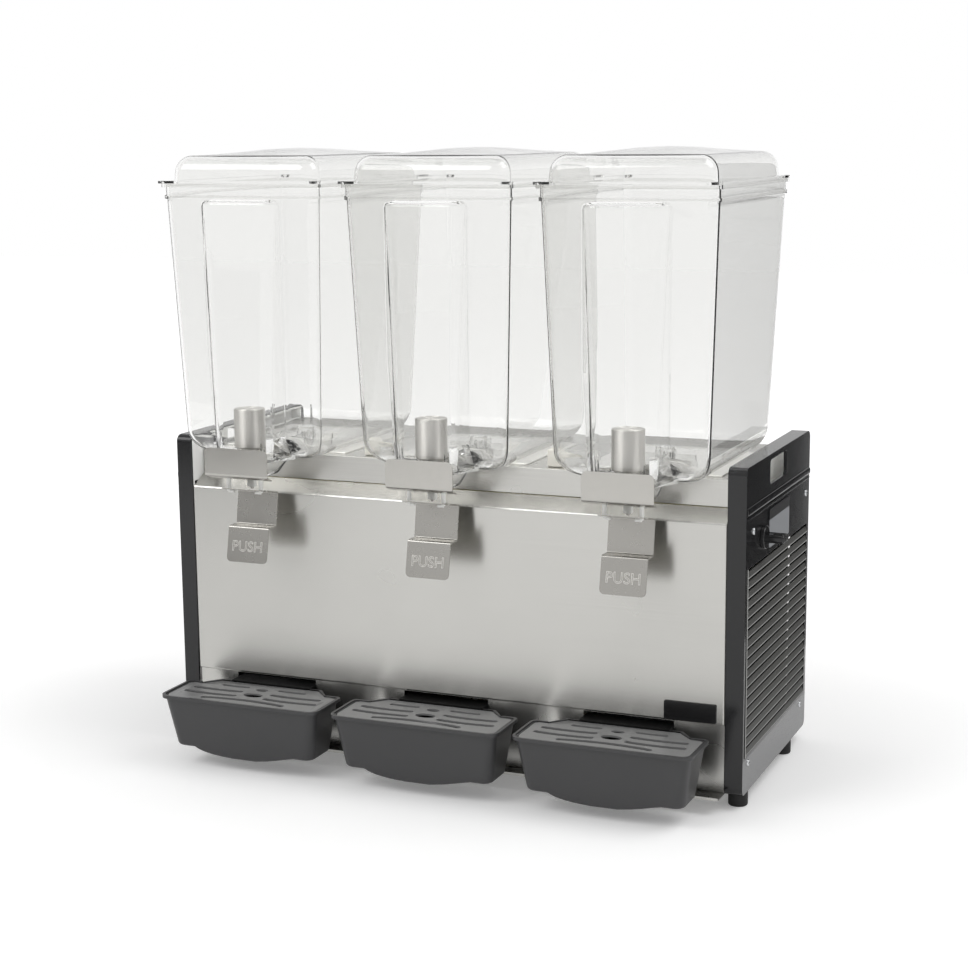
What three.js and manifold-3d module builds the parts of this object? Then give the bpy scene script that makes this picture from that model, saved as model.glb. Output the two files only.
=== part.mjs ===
// Refrigerated drink dispenser with three clear bowls, steel push levers and drip trays.
// Millimetres, +Z up. The case front is at y = 0 while modelling, and the rear is towards +Y.
import * as THREE from 'three';
import { mergeVertices } from 'three/addons/utils/BufferGeometryUtils.js';
import Module from 'manifold-3d';

const wasm = await Module();
wasm.setup();

// Case
const caseWidth = 640;
const caseDepth = 262;
const footHeight = 15;
const footRadius = 10;
const footFrontY = 22;
const footBackInset = 62;
const sideHeight = 333;
const sideThickness = 19;
const sideSkin = 3;
const sideCornerRadius = 8;
const sheet = 1.5;
const clearance = 0.3;
const overrun = 6;
const baseLipReach = 19;
const panFlangeHeight = 9;
const frontPanelBottom = 87;
const frontBendDrop = 38;
const frontSlopeDepth = 24;
const frontSlopeRise = 11;
const plinthFront = 3;
const plinthHeight = 88;
const deckDrop = 18;
const deckBand = 26;
const deckLip = 1.5;
const deckLipWidth = 3;
const rearPanelGap = 0.7;
const ventCount = 9;
const ventPitch = 14;
const ventSlot = 5;
const ventLength = 150;
const ventBottom = 60;

// Side panel details
const louverCount = 19;
const louverBottom = 48;
const louverDrop = 104;
const louverFront = 14;
const louverBackInset = 10;
const louverGapShare = 0.55;
const ribDrop = 49;
const ribHeight = 9;
const ribProud = 1.5;
const handHoleFront = 91;
const handHoleLength = 68;
const handHoleDrop = 31;
const handHoleHeight = 25;
const handHoleRadius = 3;
const pocketDrop = 52;

// Bowls, spaced evenly along the deck. Each drop, rise and inset is taken from the deck or the case
const bowlCount = 3;
const endMargin = 5.75;
const bowlWall = 2.8;
const bowlLift = 2;
const bowlGap = 30.9;
const bowlDraft = 10;
const bowlBackDraft = 20;
const bowlTopFront = -40.1;
const bowlBackInset = 40.7;
const bowlBottomFront = -30;
const bowlCornerRadius = 9;
const bowlFootRadius = 26;
const footSoftShare = 0.6;
const bowlHeight = 272.6;
const rimHeight = 15.1;
const rimProud = 0.7;
const rimRadius = 9;
const bayFront = -51;
const bayTopFrontHalf = 38;
const bayTopRootHalf = 49;
const bayBottomFrontHalf = 29.5;
const bayBottomRootHalf = 39;
const bayDepthBehind = 12;
const bayRootSink = 1;

// Spout under the bowl, its valve and its seat
const valveY = -31;
const noseHalf = 33;
const noseFront = -62.8;
const noseBack = 14;
const noseDrop = 13.5;
const noseFrontDrop = 6;
const noseBackDrop = 3;
const noseFrontRun = 10.8;
const noseFlat = 32;
const nozzleRadius = 5;
const nozzleBore = 3.6;
const nozzleLength = 13;
const seatRadius = 15;
const seatHeight = 3;
const sealThickness = 3.2;
const sealRadius = 13;
const weightRadius = 16.2;
const weightHeight = 45;
const weightChamfer = 5.2;
const stemRadius = 2;

// Lever and its hooks
const leverWidth = 45;
const leverSheet = 1.5;
const pivotY = -46;
const tongueFront = -55;
const leverBendY = -18;
const leverDrop = 34;
const tongueRise = 0.2126;
const stripDrop = 34;
const stripLean = 6;
const joggleOut = 16;
const joggleDrop = 4;
const padDrop = 37;
const padLean = 8;
const padCorner = 5;
const waistHalf = 15.2;
const waistLength = 9;
const slotHalfWidth = 2.6;
const slotLength = 9;
const slotOffset = 5.6;
const lugX = 19;
const lugWidth = 5;
const lugDepth = 6;
const hookRadius = 1.5;
const hookReach = 4;

// Guard plate in front of the spout
const guardHalf = 37;
const guardSheet = 1.2;
const guardRise = 18.5;
const guardHeight = 29.5;
const guardCorner = 6;
const guardFlangeRun = 10;
const guardFlangeDrop = 4;

// Lids
const lidSideProud = 3;
const lidFrontProud = 3.7;
const lidBackProud = 3;
const lidRadius = 9;
const lidWall = 2.6;
const lidFlange = 3.3;
const lidSkirt = 3.2;
const domeInset = 8;
const domeRadius = 22;
const domeHeight = 30;
const domeDraft = 2;

// Drip trays, spaced a little closer than the bowls and set a little to the left of them
const trayPitch = 202.5;
const trayShift = -3;
const trayGap = 18.5;
const trayFront = -88;
const trayBack = -25;
const trayTop = 80;
const trayBottom = 29;
const trayTaper = 9;
const trayCorner = 17;
const trayBackCorner = 5;
const trayWall = 2.5;
const trayRim = 3;
const bellyBottom = 18;
const bellyHalf = 40;
const bellyTopHalf = 58;
const grilleDrop = 3.2;
const grilleSheet = 2;
const grilleLedge = 2.6;
const apronRearHalf = 62;
const apronFrontHalf = 75;
const apronRear = -9;
const tongueHalf = 48;
const tongueTop = 86;
const tongueThickness = 10;
const tongueReach = 16;
const traySlotHalfWidth = 2.1;

// Cooling deck, stirrers and machinery
const coldInset = 6;
const coldFront = 45;
const coldBackInset = 9;
const coldThickness = 6;
const coreHeight = 37.4;
const motorRadius = 30;
const motorHeight = 34;
const paddleY = 92;
const paddleHub = 9;
const paddleHeight = 15;
const paddleRadius = 32;
const paddleBlade = 3;
const paddleCount = 4;
const pinRadius = 3;
const pinHeight = 11;
const runningGap = 0.35;
const compressorInset = 115;
const compressorBackInset = 112;
const compressorRadius = 62;
const compressorWaist = 95;
const compressorDome = 38;
const condenserInset = 170;
const condenserDepth = 40;
const condenserFront = 42;
const condenserBackInset = 40;
const condenserHeight = 190;
const finCount = 12;
const finGroove = 8;
const fanZ = 112;
const fanTipGap = 4;
const fanHub = 20;
const fanHubLength = 18;
const fanBlade = 2.4;
const fanBladeCount = 5;
const fanBladeTilt = 0.55;
const fanShaft = 3;
const shroudBorder = 16;
const shroudGap = 3;
const shroudSheet = 2;
const fanMotorRadius = 27;
const fanMotorLength = 38;
const fanPostHalf = 9;

// Controls and small pieces
const knobY = 65;
const knobDrop = 80;
const knobRadius = 12;
const knobSkirt = 4;
const knobGrip = 20;
const knobGripHalfLength = 10;
const knobGripHalfWidth = 4.2;
const knobGroove = 1.2;
const thermostatHalf = 15;
const thermostatDepth = 18;
const knobShaft = 2;
const labelFront = 87.5;
const labelLength = 82;
const labelDrop = 96;
const labelHeight = 40;
const labelSheet = 0.6;
const badgeInset = 62.7;
const badgeWidth = 54.4;
const badgeBottom = 88.8;
const badgeHeight = 19.5;
const badgeThickness = 1.5;
const blockHalf = 7.5;
const blockFront = 42;
const blockDepth = 16;
const blockHeight = 18;
const blockChamfer = 5;
const glandInset = 70;
const glandZ = 40;
const glandFlange = 12;
const glandBody = 8;
const glandBore = 4;
const glandFlangeThickness = 3;
const glandLength = 16;
const switchInset = 90;
const switchDrop = 78;
const switchHalfWidth = 15;
const switchHalfHeight = 11;
const switchDepth = 18;
const switchRim = 2;
const switchWall = 2.4;
const rockerDepth = 8;
const rockerTilt = 0.12;
const rockerPin = 1.5;
const rockerSlack = 2;

// Facets of round shapes
const coarseSides = 12;
const mediumSides = 20;
const fineSides = 24;
const cornerSteps = 3;
const gridStep = 1e-3;

// Heights and places that follow from the sizes above
const halfCase = caseWidth / 2;
const innerHalf = halfCase - sideThickness;
const insideHalf = innerHalf - 2 * clearance;
const sideTop = footHeight + sideHeight;
const panFloor = footHeight + sheet;
const plinthBack = plinthFront + sheet;
const rearPanelFront = caseDepth - sheet;
const rearPlateFront = rearPanelFront + clearance;
const footBackY = caseDepth - footBackInset;
const louverTop = sideTop - louverDrop;
const louverBack = caseDepth - louverBackInset;
const ribBottom = sideTop - ribDrop;
const handHoleBottom = sideTop - handHoleDrop;
const pocketTop = sideTop - pocketDrop;
const deckTop = sideTop - deckDrop;
const frontPanelBend = deckTop - frontBendDrop;

const bowlPitch = (caseWidth - 2 * endMargin) / bowlCount;
const inRow = (pitch, middle) => (
  Array.from({ length: bowlCount }, (_, i) => middle + (i - (bowlCount - 1) / 2) * pitch)
);
const stations = inRow(bowlPitch, 0);
const trayStations = inRow(trayPitch, trayShift);
const bowlTopHalf = (bowlPitch - bowlGap) / 2;
const bowlBottomHalf = bowlTopHalf - bowlDraft;
const bowlTopBack = caseDepth - bowlBackInset;
const bowlBottomBack = bowlTopBack - bowlBackDraft;
const bowlFloor = deckTop + bowlLift;
const cavityFloor = bowlFloor + bowlWall;
const rimBottom = bowlFloor + bowlHeight;
const rimTop = rimBottom + rimHeight;
const rimHalf = bowlTopHalf + rimProud;
const rimFront = bowlTopFront - rimProud;
const rimBack = bowlTopBack + rimProud;
const lidHalf = rimHalf + lidSideProud;
const lidFront = rimFront - lidFrontProud;
const lidBack = rimBack + lidBackProud;
const lidFlangeTop = rimTop + lidFlange;
const lidSkirtBottom = rimTop - lidSkirt;
const domeTop = lidFlangeTop + domeHeight;

const noseBottom = deckTop - noseDrop;
const noseFrontBottom = deckTop - noseFrontDrop;
const noseBackBottom = deckTop - noseBackDrop;
const nozzleBottom = noseBottom - nozzleLength;
const guardTop = deckTop + guardRise;
const guardBottom = guardTop - guardHeight;
const seatTop = cavityFloor + seatHeight;
const weightBottom = seatTop + sealThickness + 2 * clearance;
const leverBendZ = deckTop - leverDrop;
const tongueAt = (y) => leverBendZ + (leverBendY - y) * tongueRise;
const stemBottom = tongueAt(valveY) + leverSheet / 2 + 2 * clearance;
const pivotZ = tongueAt(pivotY);

const trayHalf = (trayPitch - trayGap) / 2;
const tongueBottom = tongueTop - tongueThickness;
const coldHalf = bowlBottomHalf - coldInset;
const coldBack = bowlBottomBack - coldBackInset;
const coldTop = bowlFloor - clearance;
const coreTop = coldTop - coldThickness - clearance;
const coreBottom = coreTop - coreHeight;
const compressorX = compressorInset - halfCase;
const compressorY = caseDepth - compressorBackInset;
const condenserX = halfCase - condenserInset;
const condenserBack = caseDepth - condenserBackInset;
const shroudFace = condenserX + condenserDepth + clearance;
const fanY = (condenserFront + condenserBack) / 2;
const shroudHole = condenserBack - fanY - shroudBorder;
const fanRadius = shroudHole - fanTipGap;
const fanFrom = shroudFace + shroudSheet + shroudGap;
const fanTo = fanFrom + fanHubLength;

const knobZ = sideTop - knobDrop;
const labelBottom = sideTop - labelDrop;
const badgeLeft = innerHalf - badgeInset;
const glandX = glandInset - halfCase;
const switchX = halfCase - switchInset;
const switchZ = sideTop - switchDrop;
const rockerAxisY = rearPanelFront - rockerDepth / 2;

// Solids

// Corners are snapped to a fine grid, so that faces meant to lie in one plane do
function solid(geometry) {
  const bare = new THREE.BufferGeometry();
  const source = geometry.index ? geometry.toNonIndexed() : geometry;
  const snapped = source.getAttribute('position').array.map((v) => Math.round(v / gridStep) * gridStep);
  bare.setAttribute('position', new THREE.BufferAttribute(snapped, 3));
  const merged = mergeVertices(bare, gridStep / 2);
  const index = merged.index.array;
  const faces = [];
  for (let i = 0; i < index.length; i += 3) {
    const [a, b, c] = index.slice(i, i + 3);
    if (a !== b && b !== c && c !== a) faces.push(a, b, c);
  }
  const vertProperties = new Float32Array(merged.getAttribute('position').array);
  return new wasm.Manifold(new wasm.Mesh({ numProp: 3, vertProperties, triVerts: new Uint32Array(faces) }));
}

const joined = (first, ...rest) => rest.reduce((body, piece) => body.add(piece), first);
const cut = (first, ...rest) => rest.reduce((body, piece) => body.subtract(piece), first);

function block(x0, x1, y0, y1, z0, z1) {
  const box = new THREE.BoxGeometry(x1 - x0, y1 - y0, z1 - z0);
  box.translate((x0 + x1) / 2, (y0 + y1) / 2, (z0 + z1) / 2);
  return solid(box);
}

const axes = {
  x: new THREE.Vector3(1, 0, 0),
  y: new THREE.Vector3(0, 1, 0),
  z: new THREE.Vector3(0, 0, 1),
};

// An outline in (y, z), (x, z) or (x, y), extruded along the remaining axis
function prism(outline, axis, from, to) {
  const shape = outline instanceof THREE.Shape ? outline : new THREE.Shape(outline);
  const body = new THREE.ExtrudeGeometry(shape, {
    depth: to - from, bevelEnabled: false, curveSegments: cornerSteps,
  });
  const { x, y, z } = axes;
  if (axis === 'x') body.applyMatrix4(new THREE.Matrix4().makeBasis(y, z, x)).translate(from, 0, 0);
  if (axis === 'y') {
    body.applyMatrix4(new THREE.Matrix4().makeBasis(x, z, y.clone().negate())).translate(0, to, 0);
  }
  if (axis === 'z') body.translate(0, 0, from);
  return solid(body);
}

function rod(radius, axis, from, to, u, v, sides = coarseSides) {
  const body = new THREE.CylinderGeometry(radius, radius, to - from, sides);
  const middle = (from + to) / 2;
  if (axis === 'x') body.rotateZ(-Math.PI / 2).translate(middle, u, v);
  if (axis === 'y') body.translate(u, middle, v);
  if (axis === 'z') body.rotateX(Math.PI / 2).translate(u, v, middle);
  return solid(body);
}

// A profile of (radius, height) points turned round the vertical through (x, y)
function turned(profile, x, y, sides = mediumSides) {
  const points = profile.map(([radius, height]) => new THREE.Vector2(radius, height));
  return solid(new THREE.LatheGeometry(points, sides).rotateX(Math.PI / 2).translate(x, y, 0));
}

function roundedOutline(u0, u1, v0, v1, radius) {
  const shape = new THREE.Shape();
  const quarter = Math.PI / 2;
  shape.absarc(u1 - radius, v1 - radius, radius, 0, quarter);
  shape.absarc(u0 + radius, v1 - radius, radius, quarter, 2 * quarter);
  shape.absarc(u0 + radius, v0 + radius, radius, 2 * quarter, 3 * quarter);
  shape.absarc(u1 - radius, v0 + radius, radius, 3 * quarter, 4 * quarter);
  return shape;
}

// One level of a lofted body: a rounded rectangle, counter-clockwise from the rear right corner
function roundedRing({ z, half, front, back, radius, frontRadius = radius }) {
  const corners = [
    [half, back, -1, -1, radius],
    [-half, back, 1, -1, radius],
    [-half, front, 1, 1, frontRadius],
    [half, front, -1, 1, frontRadius],
  ];
  return corners.flatMap(([x, y, toX, toY, r], corner) => (
    Array.from({ length: cornerSteps + 1 }, (_, i) => {
      const turn = (corner + i / cornerSteps) * Math.PI / 2;
      return new THREE.Vector3(x + r * (toX + Math.cos(turn)), y + r * (toY + Math.sin(turn)), z);
    })
  ));
}

function capFaces(ring, offset, up) {
  const flat = ring.map((p) => new THREE.Vector2(p.x, p.y));
  return THREE.ShapeUtils.triangulateShape(flat, []).flatMap(([a, b, c]) => {
    const area = THREE.ShapeUtils.area([flat[a], flat[b], flat[c]]);
    const face = (area > 0) === up ? [a, b, c] : [a, c, b];
    return face.map((i) => i + offset);
  });
}

function loft(rings) {
  const count = rings[0].length;
  const faces = [];
  for (let level = 0; level + 1 < rings.length; level += 1) {
    for (let i = 0; i < count; i += 1) {
      const a = level * count + i;
      const b = level * count + (i + 1) % count;
      faces.push(a, b, b + count, a, b + count, a + count);
    }
  }
  faces.push(...capFaces(rings[0], 0, false));
  faces.push(...capFaces(rings.at(-1), (rings.length - 1) * count, true));
  const body = new THREE.BufferGeometry().setFromPoints(rings.flat());
  body.setIndex(faces);
  return solid(body);
}

// A folded strip: a centre line through the folds, given a thickness
function foldedOutline(line, thickness) {
  const points = line.map(([u, v]) => new THREE.Vector2(u, v));
  const normalAt = (i) => {
    const before = points[Math.max(i - 1, 0)];
    const here = points[i];
    const after = points[Math.min(i + 1, points.length - 1)];
    const into = here.clone().sub(before);
    const out = after.clone().sub(here);
    if (into.length() === 0) into.copy(out);
    if (out.length() === 0) out.copy(into);
    into.normalize();
    out.normalize();
    const mitre = new THREE.Vector2(-into.y - out.y, into.x + out.x).normalize();
    return mitre.divideScalar(mitre.x * -into.y + mitre.y * into.x);
  };
  const side = (sign) => points.map((p, i) => p.clone().addScaledVector(normalAt(i), sign * thickness / 2));
  return new THREE.Shape([...side(1), ...side(-1).reverse()]);
}

// Finishes

const finish = (colour, roughness, metalness, opacity = 1) => ({
  color: colour, roughness, metalness, opacity, transparent: opacity < 1, flatShading: true,
});
const finishes = {
  steel: finish('#c3c2bd', 0.32, 1),
  satinSteel: finish('#b9b7b1', 0.38, 1),
  blackPlastic: finish('#1b1b1c', 0.22, 0),
  greyPlastic: finish('#4b4b4b', 0.5, 0),
  clearPlastic: finish('#eef1f1', 0.06, 0, 0.35),
  nylon: finish('#e8e6de', 0.5, 0),
  rubber: finish('#1d1d1d', 0.8, 0),
  silicone: finish('#d9d9d4', 0.6, 0),
  foam: finish('#d9cfa8', 0.9, 0),
  aluminium: finish('#b8bbbd', 0.4, 1),
  paintedSteel: finish('#202224', 0.4, 0.2),
  label: finish('#9a9c9e', 0.5, 0.1),
};

const dispenser = new THREE.Group();

function place(parent, name, body, look) {
  const { numProp, vertProperties, triVerts } = body.getMesh();
  const geometry = new THREE.BufferGeometry();
  geometry.setAttribute('position', new THREE.BufferAttribute(vertProperties, numProp));
  geometry.setIndex(new THREE.BufferAttribute(triVerts, 1));
  const mesh = new THREE.Mesh(geometry, new THREE.MeshStandardMaterial(finishes[look]));
  mesh.name = name;
  parent.add(mesh);
  return mesh;
}

// Case

function basePan() {
  const inside = insideHalf - sheet;
  const outside = insideHalf + overrun;
  const top = panFloor + panFlangeHeight;
  return cut(
    block(-insideHalf, insideHalf, -baseLipReach, caseDepth, footHeight, top),
    block(-outside, outside, -baseLipReach - overrun, plinthBack, panFloor + sheet, top + overrun),
    block(-outside, outside, -baseLipReach + sheet, plinthBack, panFloor, top + overrun),
    block(-inside, inside, plinthBack - overrun, caseDepth + overrun, panFloor, top + overrun),
  );
}

function traySlotCutter(x) {
  return block(
    x - tongueHalf - clearance, x + tongueHalf + clearance, plinthFront - overrun, plinthBack + overrun,
    tongueBottom - clearance, tongueTop + clearance,
  );
}

function plinthPanel() {
  const bottom = panFloor + clearance;
  const sheetBody = block(-insideHalf, insideHalf, plinthFront, plinthBack, bottom, bottom + plinthHeight);
  return cut(sheetBody, ...trayStations.map(traySlotCutter));
}

function frontPanel() {
  const middle = sheet / 2;
  const line = [
    [middle, frontPanelBottom],
    [middle, frontPanelBend],
    [middle + frontSlopeDepth - sheet, frontPanelBend + frontSlopeRise],
  ];
  return prism(foldedOutline(line, sheet), 'x', -insideHalf, insideHalf);
}

function ventCutter(i) {
  const bottom = ventBottom + i * ventPitch;
  const x = compressorX;
  return block(
    x - ventLength / 2, x + ventLength / 2, caseDepth - overrun, caseDepth + overrun,
    bottom, bottom + ventSlot,
  );
}

function rearPanel() {
  const bottom = panFloor + clearance;
  const inside = insideHalf - sheet - clearance;
  const top = deckTop - sheet - rearPanelGap;
  const sheetBody = block(-inside, inside, rearPanelFront - sheet, rearPanelFront, bottom, top);
  const vents = Array.from({ length: ventCount }, (_, i) => ventCutter(i));
  const glandHole = rod(
    glandBody + clearance, 'y', rearPanelFront - overrun, caseDepth, glandX, glandZ, mediumSides,
  );
  const switchHole = block(
    switchX - switchHalfWidth - clearance, switchX + switchHalfWidth + clearance,
    rearPanelFront - overrun, caseDepth,
    switchZ - switchHalfHeight - clearance, switchZ + switchHalfHeight + clearance,
  );
  return cut(sheetBody, ...vents, glandHole, switchHole);
}

// hand is 1 on the right and -1 on the left; along() sorts the two ends of a stretch in x
function sidePanel(hand) {
  const along = (a, b) => [Math.min(hand * a, hand * b), Math.max(hand * a, hand * b)];
  const outline = roundedOutline(0, caseDepth, footHeight, sideTop, sideCornerRadius);
  const shell = prism(outline, 'x', ...along(innerHalf, halfCase));
  const rib = block(
    ...along(halfCase - sideSkin, halfCase + ribProud),
    sideCornerRadius / 2, caseDepth - sideCornerRadius / 2, ribBottom, ribBottom + ribHeight,
  );
  const pocket = block(
    ...along(innerHalf - overrun, halfCase - sideSkin), 2 * sideSkin, caseDepth - 2 * sideSkin,
    footHeight + 2 * sideSkin, pocketTop,
  );
  const handHole = prism(
    roundedOutline(
      handHoleFront, handHoleFront + handHoleLength, handHoleBottom, handHoleBottom + handHoleHeight,
      handHoleRadius,
    ),
    'x', ...along(innerHalf - overrun, halfCase + overrun),
  );
  const pitch = (louverTop - louverBottom) / louverCount;
  const louvers = Array.from({ length: louverCount }, (_, i) => {
    const bottom = louverBottom + i * pitch;
    return block(
      ...along(halfCase - sideSkin - overrun, halfCase + overrun), louverFront, louverBack,
      bottom, bottom + pitch * louverGapShare,
    );
  });
  return cut(joined(shell, rib), pocket, handHole, ...louvers);
}

function rightPanelHole() {
  return rod(knobShaft + 2 * clearance, 'x', innerHalf, halfCase + overrun, knobY, knobZ);
}

function deckTray() {
  const bandFront = frontSlopeDepth;
  const back = rearPanelFront - sheet - clearance;
  const outside = insideHalf + overrun;
  const pan = cut(
    block(-insideHalf, insideHalf, bandFront, back, deckTop - deckBand, deckTop + deckLip),
    block(
      -outside, outside, bandFront + sheet, back - sheet, deckTop - deckBand - overrun, deckTop - sheet,
    ),
    block(-outside, outside, bandFront + deckLipWidth, back + overrun, deckTop, deckTop + overrun),
  );
  const holes = stations.map((x) => block(
    x - coldHalf - clearance, x + coldHalf + clearance, coldFront - clearance, coldBack + clearance,
    deckTop - overrun, deckTop + overrun,
  ));
  return cut(pan, ...holes);
}

function insulatedCore() {
  const core = block(
    -insideHalf, insideHalf, frontSlopeDepth + sheet + clearance, rearPanelFront - 3 * sheet,
    coreBottom, coreTop,
  );
  const wells = stations.map((x) => (
    rod(motorRadius + clearance, 'z', coreBottom - overrun, coreTop + overrun, x, paddleY, mediumSides)
  ));
  return cut(core, ...wells);
}

// Bowls, in the frame of one station

function bodyRing(z, share, shrink) {
  const at = (bottom, top) => bottom + (top - bottom) * share;
  return roundedRing({
    z,
    half: at(bowlBottomHalf, bowlTopHalf) - shrink,
    front: at(bowlBottomFront, bowlTopFront) + shrink,
    back: at(bowlBottomBack, bowlTopBack) - shrink,
    radius: Math.max(bowlCornerRadius - shrink / 2, bowlWall),
  });
}

// The drafted body of the bowl, or its cavity when inset is the wall
function bowlBody(inset, top) {
  const bottom = bowlFloor + inset;
  const radius = bowlFootRadius - inset;
  const share = (z) => (z - bowlFloor) / (rimBottom - bowlFloor);
  const foot = Array.from({ length: cornerSteps }, (_, i) => {
    const turn = (i / cornerSteps) * Math.PI / 2;
    const z = bottom + radius * (1 - Math.cos(turn));
    return bodyRing(z, share(z), inset + radius * (1 - Math.sin(turn)) * footSoftShare);
  });
  const wall = [bottom + radius, top].map((z) => bodyRing(z, share(z), inset));
  return loft([...foot, ...wall]);
}

function bayRing(z, share, inset) {
  const at = (bottom, top) => bottom + (top - bottom) * share;
  const frontHalf = at(bayBottomFrontHalf, bayTopFrontHalf) - inset;
  const rootHalf = at(bayBottomRootHalf, bayTopRootHalf) - inset;
  const root = at(bowlBottomFront, bowlTopFront) + inset + bayRootSink;
  const back = root + bayDepthBehind;
  const front = bayFront + inset;
  return [
    [rootHalf, back], [-rootHalf, back], [-rootHalf, root],
    [-frontHalf, front], [frontHalf, front], [rootHalf, root],
  ].map(([x, y]) => new THREE.Vector3(x, y, z));
}

function bowlBay(inset) {
  const bottom = bowlFloor + clearance + inset;
  const top = rimBottom + clearance - inset;
  const share = (z) => (z - bowlFloor) / (rimBottom - bowlFloor);
  return loft([bayRing(bottom, share(bottom), inset), bayRing(top, share(top), inset)]);
}

function rimBand() {
  const ring = (z) => roundedRing({ z, half: rimHalf, front: rimFront, back: rimBack, radius: rimRadius });
  return loft([ring(rimBottom), ring(rimTop)]);
}

function nose() {
  const top = bowlFloor + bowlWall / 2;
  const flatFront = noseFront + noseFrontRun;
  const outline = [
    [noseFront, top], [noseFront, noseFrontBottom], [flatFront, noseBottom],
    [flatFront + noseFlat, noseBottom], [noseBack, noseBackBottom], [noseBack, top],
  ].map(([y, z]) => new THREE.Vector2(y, z));
  return prism(outline, 'x', -noseHalf, noseHalf);
}

function lug(side) {
  const bottom = pivotZ - leverSheet - hookRadius;
  const inner = side * (lugX - lugWidth / 2);
  const outer = side * (lugX + lugWidth / 2);
  const ear = block(
    Math.min(inner, outer), Math.max(inner, outer), pivotY - lugDepth / 2, pivotY + lugDepth / 2,
    bottom - hookRadius, noseBottom + overrun,
  );
  const tip = side * (lugX - lugWidth / 2 - hookReach);
  const pinZ = pivotZ - leverSheet / 2 - clearance - hookRadius;
  const root = side * lugX;
  return ear.add(rod(hookRadius, 'x', Math.min(tip, root), Math.max(tip, root), pivotY, pinZ));
}

function bowl() {
  const outside = joined(
    bowlBody(0, rimBottom + rimRadius), bowlBay(0), rimBand(), nose(), lug(1), lug(-1),
    rod(nozzleRadius, 'z', nozzleBottom, noseBottom + overrun, 0, valveY, mediumSides),
  );
  const hollow = joined(bowlBody(bowlWall, rimTop + overrun), bowlBay(bowlWall));
  const seat = rod(seatRadius, 'z', bowlFloor + bowlWall / 2, seatTop, 0, valveY, mediumSides);
  const paddlePin = rod(pinRadius, 'z', bowlFloor + bowlWall / 2, cavityFloor + pinHeight, 0, paddleY);
  const spoutBore = rod(nozzleBore, 'z', nozzleBottom - overrun, seatTop + overrun, 0, valveY);
  return cut(joined(cut(outside, hollow), seat, paddlePin), spoutBore);
}

function valveWeight() {
  const top = weightBottom + weightHeight;
  return turned([
    [0, stemBottom], [stemRadius, stemBottom], [stemRadius, weightBottom],
    [weightRadius - weightChamfer, weightBottom], [weightRadius, weightBottom + weightChamfer],
    [weightRadius, top - sheet], [weightRadius - sheet, top], [0, top],
  ], 0, valveY, fineSides);
}

function valveSeal() {
  const bottom = seatTop + clearance;
  const bore = stemRadius + clearance;
  const top = bottom + sealThickness;
  return turned([
    [bore, bottom], [sealRadius, bottom], [sealRadius, top], [bore, top], [bore, bottom],
  ], 0, valveY);
}

function stirrerPaddle() {
  const bottom = cavityFloor + runningGap;
  const hub = rod(paddleHub, 'z', bottom, bottom + paddleHeight, 0, paddleY, mediumSides);
  const blades = Array.from({ length: paddleCount / 2 }, (_, i) => {
    const across = i % 2 === 0;
    const halfX = across ? paddleRadius : paddleBlade / 2;
    const halfY = across ? paddleBlade / 2 : paddleRadius;
    return block(-halfX, halfX, paddleY - halfY, paddleY + halfY, bottom, bottom + paddleHeight / 2);
  });
  const boreTop = cavityFloor + pinHeight + clearance;
  const bore = rod(pinRadius + runningGap, 'z', bottom - overrun, boreTop, 0, paddleY);
  return cut(joined(hub, ...blades), bore);
}

// Lever: a folded strip, with a waist for the hooks and two slots that let the drink fall

function lever() {
  const stripEnd = [leverBendY - stripLean, leverBendZ - stripDrop];
  const padStart = [stripEnd[0] - joggleOut, stripEnd[1] - joggleDrop];
  const padEnd = [padStart[0] - padLean, padStart[1] - padDrop];
  const line = [
    [tongueFront, tongueAt(tongueFront)], [leverBendY, leverBendZ], stripEnd, padStart, padEnd,
  ];
  const half = leverWidth / 2;
  const strip = prism(foldedOutline(line, leverSheet), 'x', -half - overrun, half + overrun);
  const low = padEnd[1] - leverSheet;
  const high = tongueAt(tongueFront) + overrun;
  const face = prism(
    roundedOutline(-half, half, low, high, padCorner), 'y', tongueFront - 2 * overrun, leverBendY + overrun,
  );
  const waist = [1, -1].map((side) => block(
    Math.min(side * waistHalf, side * (half + overrun)), Math.max(side * waistHalf, side * (half + overrun)),
    pivotY - waistLength / 2, pivotY + waistLength / 2, pivotZ - overrun / 2, pivotZ + overrun / 2,
  ));
  const slots = [1, -1].map((side) => block(
    side * slotOffset - slotHalfWidth, side * slotOffset + slotHalfWidth,
    valveY - slotLength / 2, valveY + slotLength / 2,
    tongueAt(valveY) - overrun / 2, tongueAt(valveY) + overrun / 2,
  ));
  return cut(strip.intersect(face), ...waist, ...slots);
}

function guardPlate() {
  const middle = noseFront - clearance - guardSheet / 2;
  const line = [
    [middle, guardTop], [middle, guardBottom],
    [middle + guardFlangeRun, guardBottom - guardFlangeDrop],
  ];
  const strip = prism(foldedOutline(line, guardSheet), 'x', -guardHalf - overrun, guardHalf + overrun);
  const low = guardBottom - guardFlangeDrop - guardCorner - overrun;
  const face = prism(
    roundedOutline(-guardHalf, guardHalf, low, guardTop, guardCorner), 'y',
    middle - overrun, middle + guardFlangeRun + overrun,
  );
  return strip.intersect(face);
}

// Lids

function domeRings(inset, flangeZ, wall) {
  const ring = (z, shrink) => roundedRing({
    z,
    half: lidHalf - shrink,
    front: lidFront + shrink,
    back: lidBack - shrink,
    radius: Math.max(lidRadius, domeRadius - wall - (shrink - inset) / 2),
  });
  const radius = domeRadius - wall;
  const spring = domeTop - domeRadius;
  const crown = Array.from({ length: cornerSteps }, (_, i) => {
    const turn = ((i + 1) / cornerSteps) * Math.PI / 2;
    return ring(spring + radius * Math.sin(turn), inset + domeDraft + radius * (1 - Math.cos(turn)));
  });
  return [ring(flangeZ, inset), ring(spring, inset + domeDraft), ...crown];
}

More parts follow.
